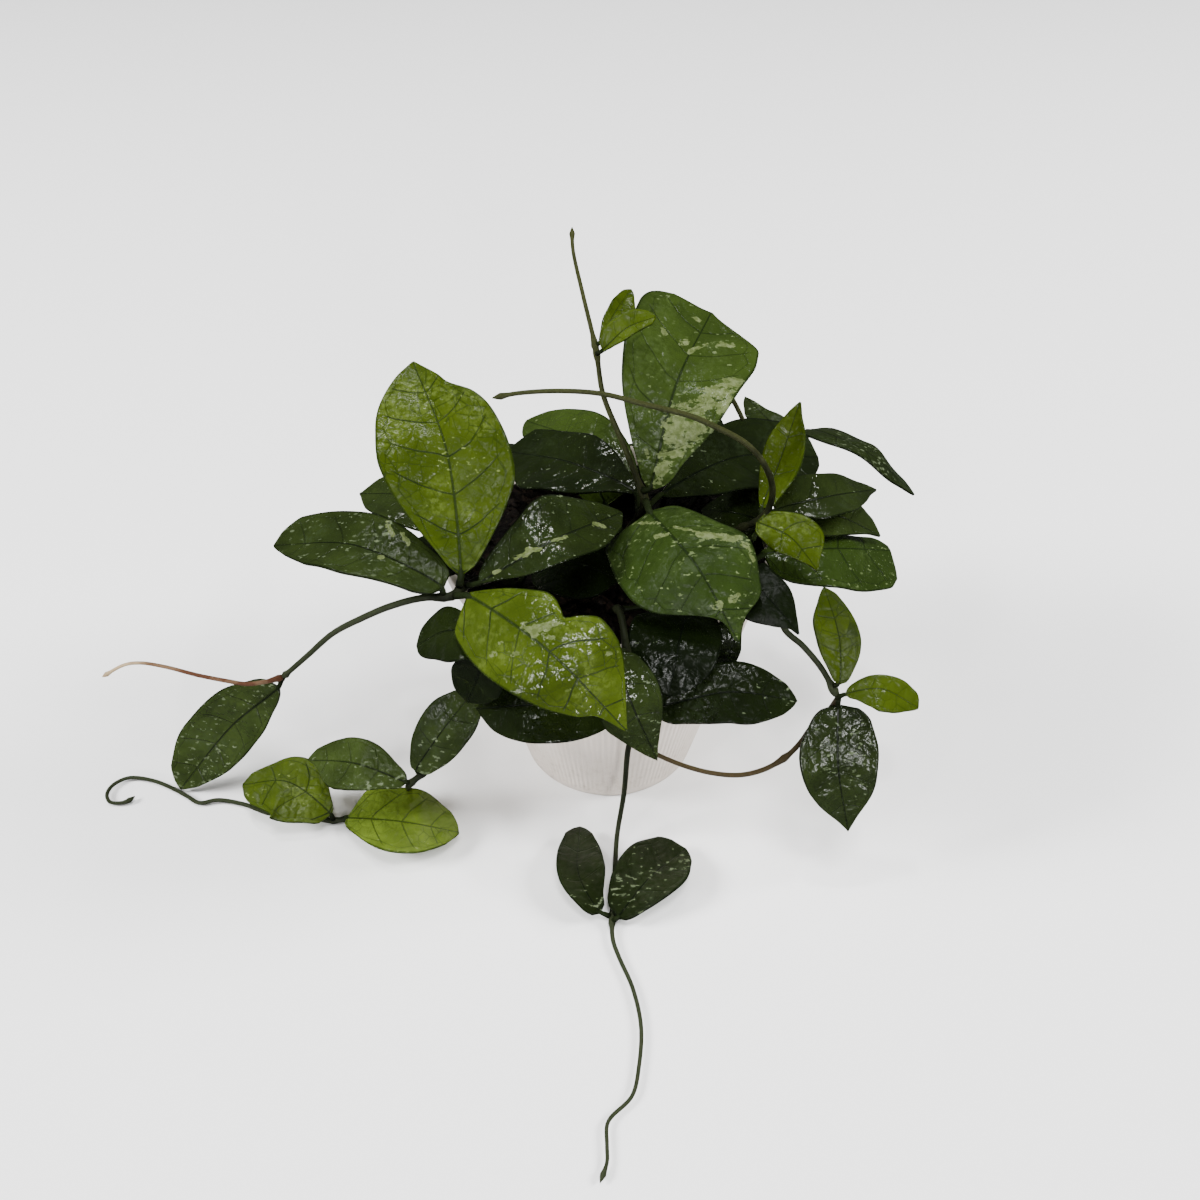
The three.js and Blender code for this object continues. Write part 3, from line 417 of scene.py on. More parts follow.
# %% A short way to write node graphs
class Graph:
    def __init__(self, name):
        self.material = bpy.data.materials.new(name)
        self.material.use_nodes = True
        self.tree = self.material.node_tree
        self.surface = self.tree.nodes["Principled BSDF"]
        self.object = self.tree.nodes.new("ShaderNodeTexCoord").outputs["Object"]

    def put(self, socket, value):
        if isinstance(value, bpy.types.NodeSocket):
            self.tree.links.new(value, socket)
        else:
            socket.default_value = value

    def add(self, kind, output, settings, **inputs):
        made = self.tree.nodes.new("ShaderNode" + kind)
        for key, value in settings.items():
            setattr(made, key, value)
        for key, value in inputs.items():
            self.put(made.inputs[key.replace("_", " ")], value)
        return made.outputs[output]

    def maths(self, operation, one, other=0.0):
        made = self.tree.nodes.new("ShaderNodeMath")
        made.operation = operation
        self.put(made.inputs[0], one)
        self.put(made.inputs[1], other)
        return made.outputs[0]

    def times(self, one, other):
        return self.maths("MULTIPLY", one, other)

    def plus(self, one, other):
        return self.maths("ADD", one, other)

    def minus(self, one, other):
        return self.maths("SUBTRACT", one, other)

    def most(self, one, other):
        return self.maths("MAXIMUM", one, other)

    def attribute(self, name):
        return self.add("Attribute", "Vector", {"attribute_name": name})

    def split(self, vector):
        made = self.tree.nodes.new("ShaderNodeSeparateXYZ")
        self.put(made.inputs[0], vector)
        return made.outputs[:]

    def together(self, *parts):
        made = self.tree.nodes.new("ShaderNodeCombineXYZ")
        for socket, value in zip(made.inputs, parts):
            self.put(socket, value)
        return made.outputs[0]

    def stretch(self, scale):
        return self.add("Mapping", "Vector", {}, Vector=self.object, Scale=scale)

    def noise(self, scale, detail=2.0, roughness=0.5, vector=None):
        space = vector or self.object
        return self.add("TexNoise", 0, {}, Vector=space, Scale=scale, Detail=detail, Roughness=roughness)

    def voronoi(self, scale, feature="F1", vector=None, output="Distance"):
        return self.add("TexVoronoi", output, {"feature": feature}, Vector=vector or self.object, Scale=scale)

    def step(self, value, low, high, to_low=0.0, to_high=1.0):
        made = self.tree.nodes.new("ShaderNodeMapRange")
        made.interpolation_type = "SMOOTHSTEP"
        for socket, number in zip(made.inputs, (value, low, high, to_low, to_high)):
            self.put(socket, number)
        return made.outputs[0]

    def mix(self, factor, one, other):
        made = self.tree.nodes.new("ShaderNodeMix")
        made.data_type = "RGBA"
        self.put(made.inputs[0], factor)
        self.put(made.inputs[6], one)
        self.put(made.inputs[7], other)
        return made.outputs[2]

    def bump(self, height, strength, distance, normal=None):
        below = {"Normal": normal} if normal else {}
        return self.add("Bump", "Normal", {}, Strength=strength, Distance=distance, Height=height, **below)

    def finish(self, color, roughness, normal, **surface):
        self.put(self.surface.inputs["Base Color"], color)
        self.put(self.surface.inputs["Roughness"], roughness)
        self.put(self.surface.inputs["Normal"], normal)
        for key, value in surface.items():
            self.surface.inputs[key.replace("_", " ")].default_value = value
        return self.material


print("graph helper ready")

# %% [markdown]
# A leaf's face carries five layers: its own green, blotched a little, with pale hazy patches that are a
# painted sheen; darker veins, as a midrib, side veins that loop into each other near the edge, and a fine
# net between them; small pale flecks; cream splashes with torn edges; and a waxy gloss over skin that
# swells between the veins. The mesh stores what the shader needs to know. `veins` holds the distance from
# the midrib, finer on a narrow leaf, the count of side veins passed, and how near the edge a point is.
# `marks` holds where cream may show, the distance from the midrib in millimetres, and how far along the
# leaf a point is. `habit` holds how light, how plain and how dull the whole leaf is. GRAIN has each layer's
# noise scale in spots a metre, and BUMP the strength and the depth in metres of the swelling and of the
# fine skin.

# %% Leaf materials
VEIN_WARP = 0.22
MIDRIB_SHOW = 0.85
# In each tone, a share and a pale colour paint a sheen over hazy patches of the leaf: a painted reflection of
# the wax.
TONES = {
    "lime": {"low": linear(45, 57, 5), "high": linear(86, 104, 33), "vein": linear(19, 31, 5),
             "painted_sheen_colour": linear(86, 100, 44), "painted_sheen": 0.5, "fleck": linear(104, 116, 66), "net": 0.6,
             "vein_show": 1.0, "fleck_at": 0.70, "dot_at": 0.9, "under": linear(88, 102, 44)},
    "green": {"low": linear(32, 46, 13), "high": linear(48, 62, 20), "vein": linear(14, 24, 6),
              "painted_sheen_colour": linear(60, 74, 38), "painted_sheen": 0.32, "fleck": linear(92, 104, 68), "net": 0.25,
              "vein_show": 0.75, "fleck_at": 0.66, "dot_at": 0.5, "under": linear(74, 88, 44)},
    "dark": {"low": linear(9, 16, 3), "high": linear(45, 57, 23), "vein": linear(5, 9, 4),
             "painted_sheen_colour": linear(44, 54, 36), "painted_sheen": 0.35, "fleck": linear(88, 98, 74), "net": 0.2,
             "vein_show": 0.4, "fleck_at": 0.63, "dot_at": 0.8, "under": linear(56, 70, 38)},
}
CREAM = linear(91, 100, 66)
CREAM_THIN = linear(70, 80, 44)
FLECK_STRETCH = (0.55, 1.0, 1.0)
WAX = {"waxy": 0.4, "dull": 0.22}
GRAIN = {"wander": 38, "fade": 46, "net": 34, "net_cell": 190, "blotch": 55, "painted_sheen": 52, "painted_sheen_fine": 420,
         "cluster": 30, "fleck": 560, "dot": 330, "fleck_light": 130, "torn": 150, "holes": 360, "cream": 480,
         "pucker": 120, "pucker_fine": 280, "skin": 620, "sheen": 60, "under": 90, "under_fine": 300}
BUMP = {"swell": (0.8, 0.0011), "skin": (0.5, 0.0003)}


def leaf_material(tone, finish):
    look = TONES[tone]
    g = Graph(f"leaf_{tone}_{finish}")
    rib, phase, edge = g.split(g.attribute("veins"))
    cream, from_rib, along = g.split(g.attribute("marks"))
    light, plain, dull = g.split(g.attribute("habit"))
    wander = g.noise(GRAIN["wander"], 2)
    warped = g.plus(phase, g.times(g.minus(wander, 0.5), 2 * VEIN_WARP))
    from_vein = g.maths("PINGPONG", warped, 0.5)
    side = g.step(from_vein, 0.007, 0.034, 1, 0)
    side = g.times(side, g.step(edge, 0.78, 0.9, 1, 0))
    loop = g.maths("ABSOLUTE", g.minus(edge, g.plus(g.times(from_vein, 0.22), 0.76)))
    loop = g.times(g.step(loop, 0.004, 0.02, 1, 0), 0.6)
    fade = g.step(g.noise(GRAIN["fade"], 2), 0.36, 0.6, 0.7, 1)
    fade = g.times(fade, g.step(plain, 0.2, 1, 1, 0.2))
    side = g.times(g.most(side, loop), fade)
    thin = g.step(along, 0.1, 1.0, 1.0, 0.4)
    midrib = g.step(rib, g.times(thin, 0.25), g.times(thin, 0.8), 1, 0)
    cell_edge = g.voronoi(GRAIN["net_cell"], "DISTANCE_TO_EDGE")
    net = g.step(cell_edge, 0.008, 0.042, look["net"], 0)
    net = g.times(net, g.step(g.noise(GRAIN["net"], 2), 0.44, 0.6))
    veins = g.most(side, midrib)
    seen_veins = g.most(g.times(side, look["vein_show"]), g.times(midrib, MIDRIB_SHOW))
    lines = g.most(seen_veins, net)

    ground = g.mix(light, look["low"], look["high"])
    blotch = g.step(g.noise(GRAIN["blotch"], 3, 0.6), 0.35, 0.68, 0.4, 0)
    color = g.mix(blotch, ground, look["vein"])
    # Painted sheen: pale hazy patches that stand in for the wax's reflection, fainter on a plain leaf.
    painted_sheen = g.step(g.noise(GRAIN["painted_sheen"], 2), 0.46, 0.66)
    painted_sheen = g.times(painted_sheen, g.step(g.noise(GRAIN["painted_sheen_fine"], 4, 0.7), 0.42, 0.62))
    painted_sheen = g.times(painted_sheen, g.step(plain, 0, 1, 1, 0.1))
    color = g.mix(g.times(painted_sheen, look["painted_sheen"]), color, look["painted_sheen_colour"])
    color = g.mix(lines, color, look["vein"])
    color = g.mix(g.step(edge, 0.955, 0.985, 0, 0.65), color, look["vein"])

    stretched = g.stretch(FLECK_STRETCH)
    cluster = g.times(g.minus(g.noise(GRAIN["cluster"], 2), 0.5), 0.42)
    cluster = g.minus(cluster, g.times(plain, 0.13))
    speck = g.plus(g.noise(GRAIN["fleck"], 2.5, 0.55, stretched), cluster)
    fleck = g.step(speck, look["fleck_at"], look["fleck_at"] + 0.03)
    chance, size, strength = g.split(g.voronoi(GRAIN["dot"], vector=stretched, output="Color"))
    reach = g.times(g.voronoi(GRAIN["dot"], vector=stretched), g.step(size, 0, 1, 1.9, 0.8))
    here = g.step(g.plus(chance, g.times(cluster, 1.2)), look["dot_at"], look["dot_at"] + 0.02)
    dot = g.times(g.step(reach, 0.12, 0.2, 1, 0), here)
    dot = g.times(dot, g.step(strength, 0, 1, 0.35, 1))
    fleck = g.most(fleck, dot)
    fleck = g.times(fleck, g.step(g.noise(GRAIN["fleck_light"], 2), 0.35, 0.65, 0.4, 0.9))
    color = g.mix(fleck, color, look["fleck"])

    torn = g.plus(cream, g.times(g.minus(g.noise(GRAIN["torn"], 5, 0.7), 0.5), 1.5))
    holes = g.step(g.noise(GRAIN["holes"], 4, 0.65, stretched), 0.52, 0.6, 0, 0.5)
    splash = g.step(g.minus(torn, holes), 0.48, 0.54)
    cream_tone = g.step(g.noise(GRAIN["cream"], 4, 0.65), 0.38, 0.62)
    cream_tone = g.mix(cream_tone, CREAM_THIN, CREAM)
    color = g.mix(g.times(splash, 0.92), color, cream_tone)

    pucker = g.noise(GRAIN["pucker"], 2, 0.5)
    pucker = g.plus(pucker, g.times(g.noise(GRAIN["pucker_fine"], 2), 0.5))
    dome = g.step(cell_edge, 0, 0.3, 0, 0.22)
    relief = g.plus(g.times(pucker, 0.9), dome)
    relief = g.minus(relief, g.times(veins, 0.2))
    with_veins = g.together(g.times(from_rib, 0.25), g.times(phase, 12), 0)
    grain = g.plus(g.noise(1, 2, 0.5, with_veins), g.noise(GRAIN["skin"], 3, 0.6))
    normal = g.bump(relief, *BUMP["swell"])
    normal = g.bump(grain, *BUMP["skin"], normal)
    sheen = g.step(g.noise(GRAIN["sheen"], 3), 0.35, 0.7, 0.08, 0.18)
    rough = g.plus(sheen, g.times(g.most(lines, dull), 0.3))
    return g.finish(color, rough, normal, Specular_IOR_Level=WAX[finish])


def underside_material(tone):
    look = TONES[tone]
    g = Graph(f"leaf_{tone}_underside")
    rib, phase, edge = g.split(g.attribute("veins"))
    side = g.step(g.maths("PINGPONG", phase, 0.5), 0.02, 0.09, 1, 0)
    mottle = g.step(g.noise(GRAIN["under"], 3), 0.3, 0.75)
    color = g.mix(mottle, look["under"], g.mix(0.45, look["under"], look["high"]))
    color = g.mix(g.times(side, 0.25), color, look["fleck"])
    normal = g.bump(g.plus(side, g.noise(GRAIN["under_fine"], 3)), *BUMP["skin"])
    return g.finish(color, g.step(mottle, 0, 1, 0.5, 0.62), normal, Specular_IOR_Level=0.2)


leaf_faces = {(tone, finish): leaf_material(tone, finish) for tone in TONES for finish in WAX}
leaf_undersides = {tone: underside_material(tone) for tone in TONES}
print("leaf materials:", sorted(leaf_faces))

# %% [markdown]
# Stalks and vines share one graph: a green skin that turns woody and brown towards the root, with fine
# streaks along it and small raised pores. On the vines that brown at the root is near black, which is partly
# painted shade, the dark inside the crown. The bare shoots are the same skin in a warmer brown. The
# attribute `age_and_shade` says how woody a ring is, and on a vine how deep it lies in painted shade.

# %% Vine, shoot and stalk materials
def vine_material(name, young, old, spots):
    g = Graph(name)
    age_and_shade, around, run = g.split(g.attribute("age_and_shade"))
    streak = g.noise(900, 3, 0.6)
    patch = g.step(g.noise(110, 3), 0.3, 0.7)
    color = g.mix(g.plus(age_and_shade, g.times(g.minus(patch, 0.5), 0.45)), young, old)
    color = g.mix(g.times(g.step(streak, 0.42, 0.72, 0, 0.35), g.step(age_and_shade, 0, 1, 1, 0.3)), color, spots)
    normal = g.bump(g.plus(streak, g.noise(2600, 2)), 0.6, 0.00025)
    return g.finish(color, g.step(streak, 0.3, 0.7, 0.42, 0.6), normal, Specular_IOR_Level=0.15)


# A vine's darker colour, towards the root, is near black: woody skin darkened by painted shade of the crown.
vine_skins = {
    "olive": vine_material("vine_olive", linear(42, 45, 22), linear(15, 17, 9), linear(64, 66, 40)),
    "green": vine_material("vine_green", linear(38, 43, 28), linear(17, 20, 10), linear(58, 63, 46)),
}
shoot_skins = {
    "shoot_left": vine_material("shoot_rust", linear(160, 142, 112), linear(72, 45, 31), linear(112, 84, 62)),
    "shoot_right": vine_material("shoot_olive", linear(54, 46, 29), linear(40, 33, 20), linear(78, 67, 44)),
}
stalk_green = vine_material("stalk_green", linear(19, 27, 10), linear(18, 22, 10), linear(32, 36, 18))
print("vine materials:", len(vine_skins) + len(shoot_skins) + 1)

# %% [markdown]
# The pot is thin moulded plastic, off-white and satin. It is darker and browner in patches, most low on
# its wall, and the light breaks on its ribs, so the colour stays almost plain and the ribs are real geometry.

# %% Pot and potting mix materials
def pot_material():
    g = Graph("pot_plastic")
    cloud = g.noise(22, 3)
    height = g.split(g.object)[2]
    # Darker, browner patches, strongest at the foot of the wall.
    low_dark_patches = g.times(g.step(height, 0.0, 0.05, 0.5, 0.1), g.step(g.noise(260, 4, 0.65), 0.45, 0.75))
    color = g.mix(g.step(cloud, 0.3, 0.7), linear(217, 207, 197), linear(209, 199, 189))
    color = g.mix(low_dark_patches, color, linear(158, 146, 130))
    normal = g.bump(g.noise(1500, 2), 0.12, 0.0002)
    return g.finish(color, g.step(cloud, 0.3, 0.7, 0.38, 0.5), normal)


def soil_material():
    g = Graph("potting_mix_and_shade")
    crumb = g.noise(260, 5, 0.7)
    cell = g.split(g.voronoi(210, output="Color"))[0]
    # Near-black crumbs: the mix's own dark colour, deepened as painted shade of the crown.
    color = g.mix(g.step(crumb, 0.35, 0.65), linear(4, 3, 3), linear(13, 10, 8))
    color = g.mix(g.step(cell, 0.82, 0.95, 0, 0.7), color, linear(28, 22, 17))
    normal = g.bump(g.plus(crumb, g.voronoi(420)), 0.9, 0.0015)
    return g.finish(color, 0.92, normal, Specular_IOR_Level=0.25)


def bark_material():
    g = Graph("bark_chips")
    grain = g.noise(380, 5, 0.7)
    color = g.mix(g.step(grain, 0.35, 0.7), linear(9, 7, 5), linear(24, 18, 14))
    return g.finish(color, 0.85, g.bump(grain, 0.8, 0.0008), Specular_IOR_Level=0.3)


pot_plastic = pot_material()
potting_mix_and_shade = soil_material()
bark_chips = bark_material()
print("pot and soil materials:", [made.name for made in (pot_plastic, potting_mix_and_shade, bark_chips)])

# %% [markdown]
# The pot is turned like a bowl on a wheel: one circle is filled, then pushed up and scaled again and
# again through the heights of the wall, over the rim and down the inside. Doing it by extrusion keeps
# every ring of corners in line, so the fine ribs can be laid afterwards by moving the corners of the
# outer wall in and out. The drainage holes are cut last, with a boolean.

# %% The ribbed pot
POT = {"rim": 75, "base": 42, "height": 127, "wall": 1.6, "lip": 1.8, "lip_height": 6, "floor": 2.4}
SHARP_EDGE = 35
FINE_RIBS = {"count": 126, "corners": 5, "depth": 0.42, "bottom": 5, "top": 119.5}
DRAINS = {"count": 6, "radius": 4, "ring": 27}


def pot_radius(z):
    return POT["base"] + (POT["rim"] - POT["lip"] - POT["base"]) * z / POT["height"]


def pot_profile():
    """Radius and height of each ring, from the foot up the wall, over the rim and down the inside."""
    rim, height, lip_foot = POT["rim"], POT["height"], POT["height"] - POT["lip_height"]
    inner_rim = rim - POT["lip"] - POT["wall"]
    foot = [(pot_radius(0) - 0.9, 0), (pot_radius(0) - 0.25, 0.25)]
    wall = [(pot_radius(z), z) for z in (1, 4.4, 5, 7, 20, 40, 60, 80, 100, 117, 119.5, lip_foot)]
    lip = [(rim - 0.6, lip_foot + 0.4), (rim, lip_foot + 1.1), (rim, height - 1), (rim - 0.4, height - 0.3)]
    lip += [(rim - 1, height), (inner_rim + 0.6, height), (inner_rim, height - 0.6)]
    inside = [(pot_radius(z) - POT["wall"], z) for z in (118, 90, 50, 12, 4)]
    return foot + wall + lip + inside + [(pot_radius(POT["floor"]) - POT["wall"] - 2, POT["floor"])]


deselect()
profile = pot_profile()
around = FINE_RIBS["count"] * FINE_RIBS["corners"]
bpy.ops.mesh.primitive_circle_add(vertices=around, radius=profile[0][0] * MM, fill_type="NGON")
pot = bpy.context.object
bpy.ops.object.mode_set(mode="EDIT")
bpy.ops.mesh.select_all(action="SELECT")
for (radius, z), (next_radius, next_z) in zip(profile, profile[1:]):
    bpy.ops.mesh.extrude_region_move(TRANSFORM_OT_translate={"value": (0, 0, (next_z - z) * MM)})
    bpy.ops.transform.resize(value=(next_radius / radius, next_radius / radius, 1))
face_outwards()
for corner in pot.data.vertices:
    x, y, z = corner.co / MM
    reach = math.hypot(x, y)
    on_wall = abs(reach - pot_radius(z)) < POT["wall"] / 4
    fade = smooth(FINE_RIBS["bottom"] - 1, FINE_RIBS["bottom"] + 1, z)
    fade *= smooth(-FINE_RIBS["top"] - 1, 1 - FINE_RIBS["top"], -z)
    if on_wall and fade > 0:
        groove = 0.5 + 0.5 * math.cos(FINE_RIBS["count"] * math.atan2(y, x))
        inset = 1 - FINE_RIBS["depth"] * fade * groove ** 2 / reach
        corner.co.x *= inset
        corner.co.y *= inset
deselect()
for i in range(DRAINS["count"]):
    angle = 2 * math.pi * (i + 0.5) / DRAINS["count"]
    spot = (DRAINS["ring"] * MM * math.cos(angle), DRAINS["ring"] * MM * math.sin(angle), 0)
    bpy.ops.mesh.primitive_cylinder_add(
        vertices=32, radius=DRAINS["radius"] * MM, depth=4 * POT["floor"] * MM, location=spot,
    )
    plug = bpy.context.object
    cut = pot.modifiers.new("drain", "BOOLEAN")
    cut.operation = "DIFFERENCE"
    cut.object = plug
    apply_to(pot, cut)
    bpy.data.objects.remove(plug)
active_only(pot)
bpy.ops.object.shade_smooth_by_angle(angle=math.radians(SHARP_EDGE))
pot.name = "pot_ribbed"
pot.data.materials.clear()
pot.data.materials.append(pot_plastic)
dress(pot, "pot", "pot")
print("pot triangles:", triangles(pot))

# %% [markdown]
# The potting mix is bark and fibre, near black, which is partly painted shade of the crown above it. Its
# body is a drum inset ring by ring from the wall to the middle, and its top is heaped by smooth noise.

# %% The potting mix
SOIL = {"top": 119, "gap": 0.35, "lump": 1.4, "ring": 2, "rings": 34}
CHIP_SIZES = ((3.4, 2.4, 1.3), (2.4, 1.6, 1.2), (4.6, 1.5, 0.9))
CHIPS = 330
inner = pot_radius(SOIL["top"]) - POT["wall"] - SOIL["gap"]
foot = pot_radius(POT["floor"]) - POT["wall"] - SOIL["gap"] - 2.2


def heap(x, y):
    """How high the mix stands at a place, in millimetres."""
    inward = min(1, (inner - math.hypot(x, y)) / 10)
    swell = SOIL["lump"] * (math.sin(x / 7 + 1) + math.cos(y / 6 - x / 11))
    crumbs = 1.6 * noise.noise(Vector((x, y, 0)) / 3.5) + 0.8 * noise.noise(Vector((x, y, 4)) / 1.6)
    return SOIL["top"] + max(inward, 0) * swell + min(1, max(inward, 0) + 0.3) * crumbs


deselect()
bpy.ops.mesh.primitive_cone_add(
    vertices=180, radius1=foot * MM, radius2=inner * MM, depth=(SOIL["top"] - POT["floor"] - 1) * MM,
    location=(0, 0, (SOIL["top"] + POT["floor"] + 1) / 2 * MM),
)
soil = bpy.context.object
bpy.ops.object.transform_apply(location=True)
bpy.ops.object.mode_set(mode="EDIT")
bpy.ops.mesh.select_all(action="DESELECT")
bpy.ops.object.mode_set(mode="OBJECT")
for face in soil.data.polygons:
    face.select = face.normal.z > 0.9
bpy.ops.object.mode_set(mode="EDIT")
for ring in range(SOIL["rings"]):
    bpy.ops.mesh.inset(thickness=SOIL["ring"] * MM)
bpy.ops.object.mode_set(mode="OBJECT")
for corner in soil.data.vertices:
    if corner.co.z > (SOIL["top"] - 2) * MM:
        corner.co.z = heap(corner.co.x / MM, corner.co.y / MM) * MM
soil.data.materials.append(potting_mix_and_shade)
shade_smooth(soil.data)
print("soil body triangles:", triangles(soil))

# %% [markdown]
# Loose chips lie on the mix: three chips are shaped from small spheres, copied, turned and joined to it.

# %% Bark chips
models = []
for number, size in enumerate(CHIP_SIZES):
    deselect()
    bpy.ops.mesh.primitive_ico_sphere_add(subdivisions=2, radius=1)
    chip = bpy.context.object
    for corner in chip.data.vertices:
        rough = 1 + 0.35 * noise.noise(corner.co * 1.3 + Vector((number * 7, 0, 0)))
        corner.co = corner.co * Vector(size) * rough * MM
    chip.data.materials.append(bark_chips)
    models.append(chip)
chips = []
for number in range(CHIPS):
    model = models[number % len(models)]
    chip = add_object("chip", model.data.copy())
    reach = (inner - 5) * math.sqrt(random.random())
    angle = random.uniform(0, 2 * math.pi)
    x, y = reach * math.cos(angle), reach * math.sin(angle)
    chip.location = (x * MM, y * MM, (heap(x, y) + random.uniform(0.1, 1)) * MM)
    chip.rotation_euler = (random.uniform(-0.5, 0.5), random.uniform(-0.5, 0.5), random.uniform(0, 6.28))
    chip.scale = [random.uniform(0.6, 1.25)] * 3
    chips.append(chip)
for model in models:
    bpy.data.objects.remove(model)
soil = joined("soil_mix", [soil, *chips])
active_only(soil)
bpy.ops.object.transform_apply(location=True, rotation=True, scale=True)
dress(soil, "soil", "soil")
print("soil triangles:", triangles(soil))

# %% [markdown]
# A vine is a tube swept along its path, thicker at each joint where leaves grow, with a faint ring on
# either side of the joint, and ending in a small pointed bud. Blender's curve bevel could sweep it too,
# but its thickness can't swell so locally, so the rings are laid in code. An age pair says at which share
# of the length the skin is young and at which it is old, and so on a vine also where its painted shade
# of the crown begins and where it is deepest.

# %% Sweep a vine
VINE = {"sides": 14, "step": 1.6, "slim": 0.95, "swell": 0.6, "swell_reach": 2.2, "gap": 0.35}
SCAR = {"swell": 0.14, "past": 3.2, "reach": 0.5}
BUD = {"swell": 0.5, "back": 3.0, "reach": 2.0}
TIP = {"length": 2.6, "least": 0.15}
VINE_AGE = (0.7, 0.2)
OLIVE_VINES = ("centre", "right", "behind")
SHOOT_AGES = {"shoot_left": (0.85, 0.62), "shoot_right": (0.55, 0.15)}


def bump_at(distance, place, reach):
    return math.exp(-(((distance - place) / reach) ** 2))


def vine_radius(vine, distance):
    length = vine["path"].length
    radius = vine["thick"] + (vine["thin"] - vine["thick"]) * distance / length
    swollen = max([bump_at(distance, place, VINE["swell_reach"]) for place in vine["joints"]], default=0)
    scars = [place + SCAR["past"] for place in vine["joints"]]
    scar = max([bump_at(distance, place, SCAR["reach"]) for place in scars], default=0)
    bud = BUD["swell"] * bump_at(distance, length - BUD["back"], BUD["reach"])
    tip = smooth(0, TIP["length"], length - distance) * (1 - TIP["least"]) + TIP["least"]
    return (radius * VINE["slim"] + VINE["swell"] * swollen + SCAR["swell"] * scar + bud) * tip


def perpendicular(direction):
    helper = Vector((0, 0, 1)) if abs(direction.z) < 0.8 else Vector((1, 0, 0))
    return helper.cross(direction).normalized()


def swept(name, path, distances, radius_at, sides, material, age_at, lift_at=lambda distance: 0,
          start=0, sideways=None):
    """A closed tube along a path, with the attribute `age_and_shade` on its corners, for woody skin and
    painted shade.
    """
    frames = frames_along(path, distances, start, sideways or perpendicular(path.along(distances[start])))
    corners, faces, ages = [], [], []
    for distance, (place, side, up) in zip(distances, frames):
        radius = radius_at(distance)
        for k in range(sides):
            turn = 2 * math.pi * k / sides
            spoke = side * math.cos(turn) + up * math.sin(turn)
            corners.append((place + up * lift_at(distance) + spoke * radius) * MM)
            ages += (age_at(distance), k / sides, distance * MM)
    rows = len(distances)
    for row in range(rows - 1):
        for k in range(sides):
            a, b = row * sides + k, row * sides + (k + 1) % sides
            faces.append((a, b, b + sides, a + sides))
    faces.append(tuple(reversed(range(sides))))
    faces.append(tuple(range((rows - 1) * sides, rows * sides)))
    mesh = bpy.data.meshes.new(name)
    mesh.from_pydata(corners, [], faces)
    mesh.materials.append(material)
    piece = add_object(name, mesh)
    shade_smooth(mesh)
    active_only(piece)
    face_outwards()
    store(mesh, "age_and_shade", ages)
    return piece


def vine_distances(vine):
    length = vine["path"].length
    count = round((length - VINE["gap"]) / VINE["step"])
    return [VINE["gap"] + (length - VINE["gap"]) * i / count for i in range(count + 1)]


def grow_vine(piece_name, node, vine, slot, skin, ages):
    path = vine["path"]
    piece = swept(piece_name, path, vine_distances(vine), lambda distance: vine_radius(vine, distance),
                  VINE["sides"], skin, lambda distance: smooth(*ages, distance / path.length))
    dress(piece, slot, node)
    return triangles(piece)


vines = 0
for name, stem in stems.items():
    skin = vine_skins["olive" if name in OLIVE_VINES else "green"]
    vines += grow_vine(f"vine_{name}", f"stem_{name}", stem, "stem", skin, VINE_AGE)
for name, (grows_on, thick, thin, bud, shown) in SHOOTS.items():
    stem = stems[grows_on]
    route = [seen(place) for place in shown]
    place, run = stem["path"].nearest(route[0])
    outward = (route[0] - place).normalized()
    path = Path([place + outward * vine_radius(stem, run), *route])
    shoot = {"thick": thick, "thin": thin, "path": path, "joints": [path.nearest(seen(bud))[1]]}
    vines += grow_vine(f"bare_{name}", name, shoot, "stem_brown", shoot_skins[name], SHOOT_AGES[name])
print("vine triangles:", vines)

# %% [markdown]
# A leaf starts as a flat grid. Each corner's place on the grid says how far along the leaf and how far
# across it lies, and a formula bends it onto the leaf's own rib: the outline gives the width, the edge
# cups and waves, a groove follows the midrib, and the skin puffs up between the side veins. Solidify
# then gives the blade its thickness, and its inner faces take the paler underside. The stalk runs on
# under the blade as a keel, as it does on the real leaf. The outlines hold, in hundredths, how much of
# the leaf's half-width each side has, the left side first. OUTLINES has it at five places along the leaf,
# and CLOSE_OUTLINES, for the leaves nearest the camera, at places of their own.

# %% Shape of a blade
BLADE = {"cell": 1.25, "rows": 14, "columns": 5, "thick": 0.95, "mucro": 0.985, "tip": 0.5, "steady": 0.41}
RELIEF = {"groove": 0.22, "groove_width": 1.3, "puff": 0.28, "flat": 5, "crease": 0.5, "crease_size": 14}
TAPER = {"start": 0.86, "end": 0.97, "share": 0.2}
PETIOLE = {"least": 0.75, "per_width": 0.011, "lead": 3, "lead_share": 0.4, "sunk": 0.8}
KEEL = {"share": 0.9, "step": 1.8, "rows": 12, "sides": 10, "tip": 0.4, "root_swell": 0.25, "root_reach": 2.5}
VEINS = {"spacing": 15, "slant": 0.42, "bow": 0.011, "usual_width": 45, "slender": 0.7}
SMALL_LEAF = 30
USUAL_LEAN = 1.2
LEAN = {"left_behind": 1.4, "left_under": 1.1, "rear_tail_left": 1.1, "rear_tail_right": 1.1}
DULL_FROM = 0.45
FIFTHS = (0.1, 0.3, 0.5, 0.7, 0.9)
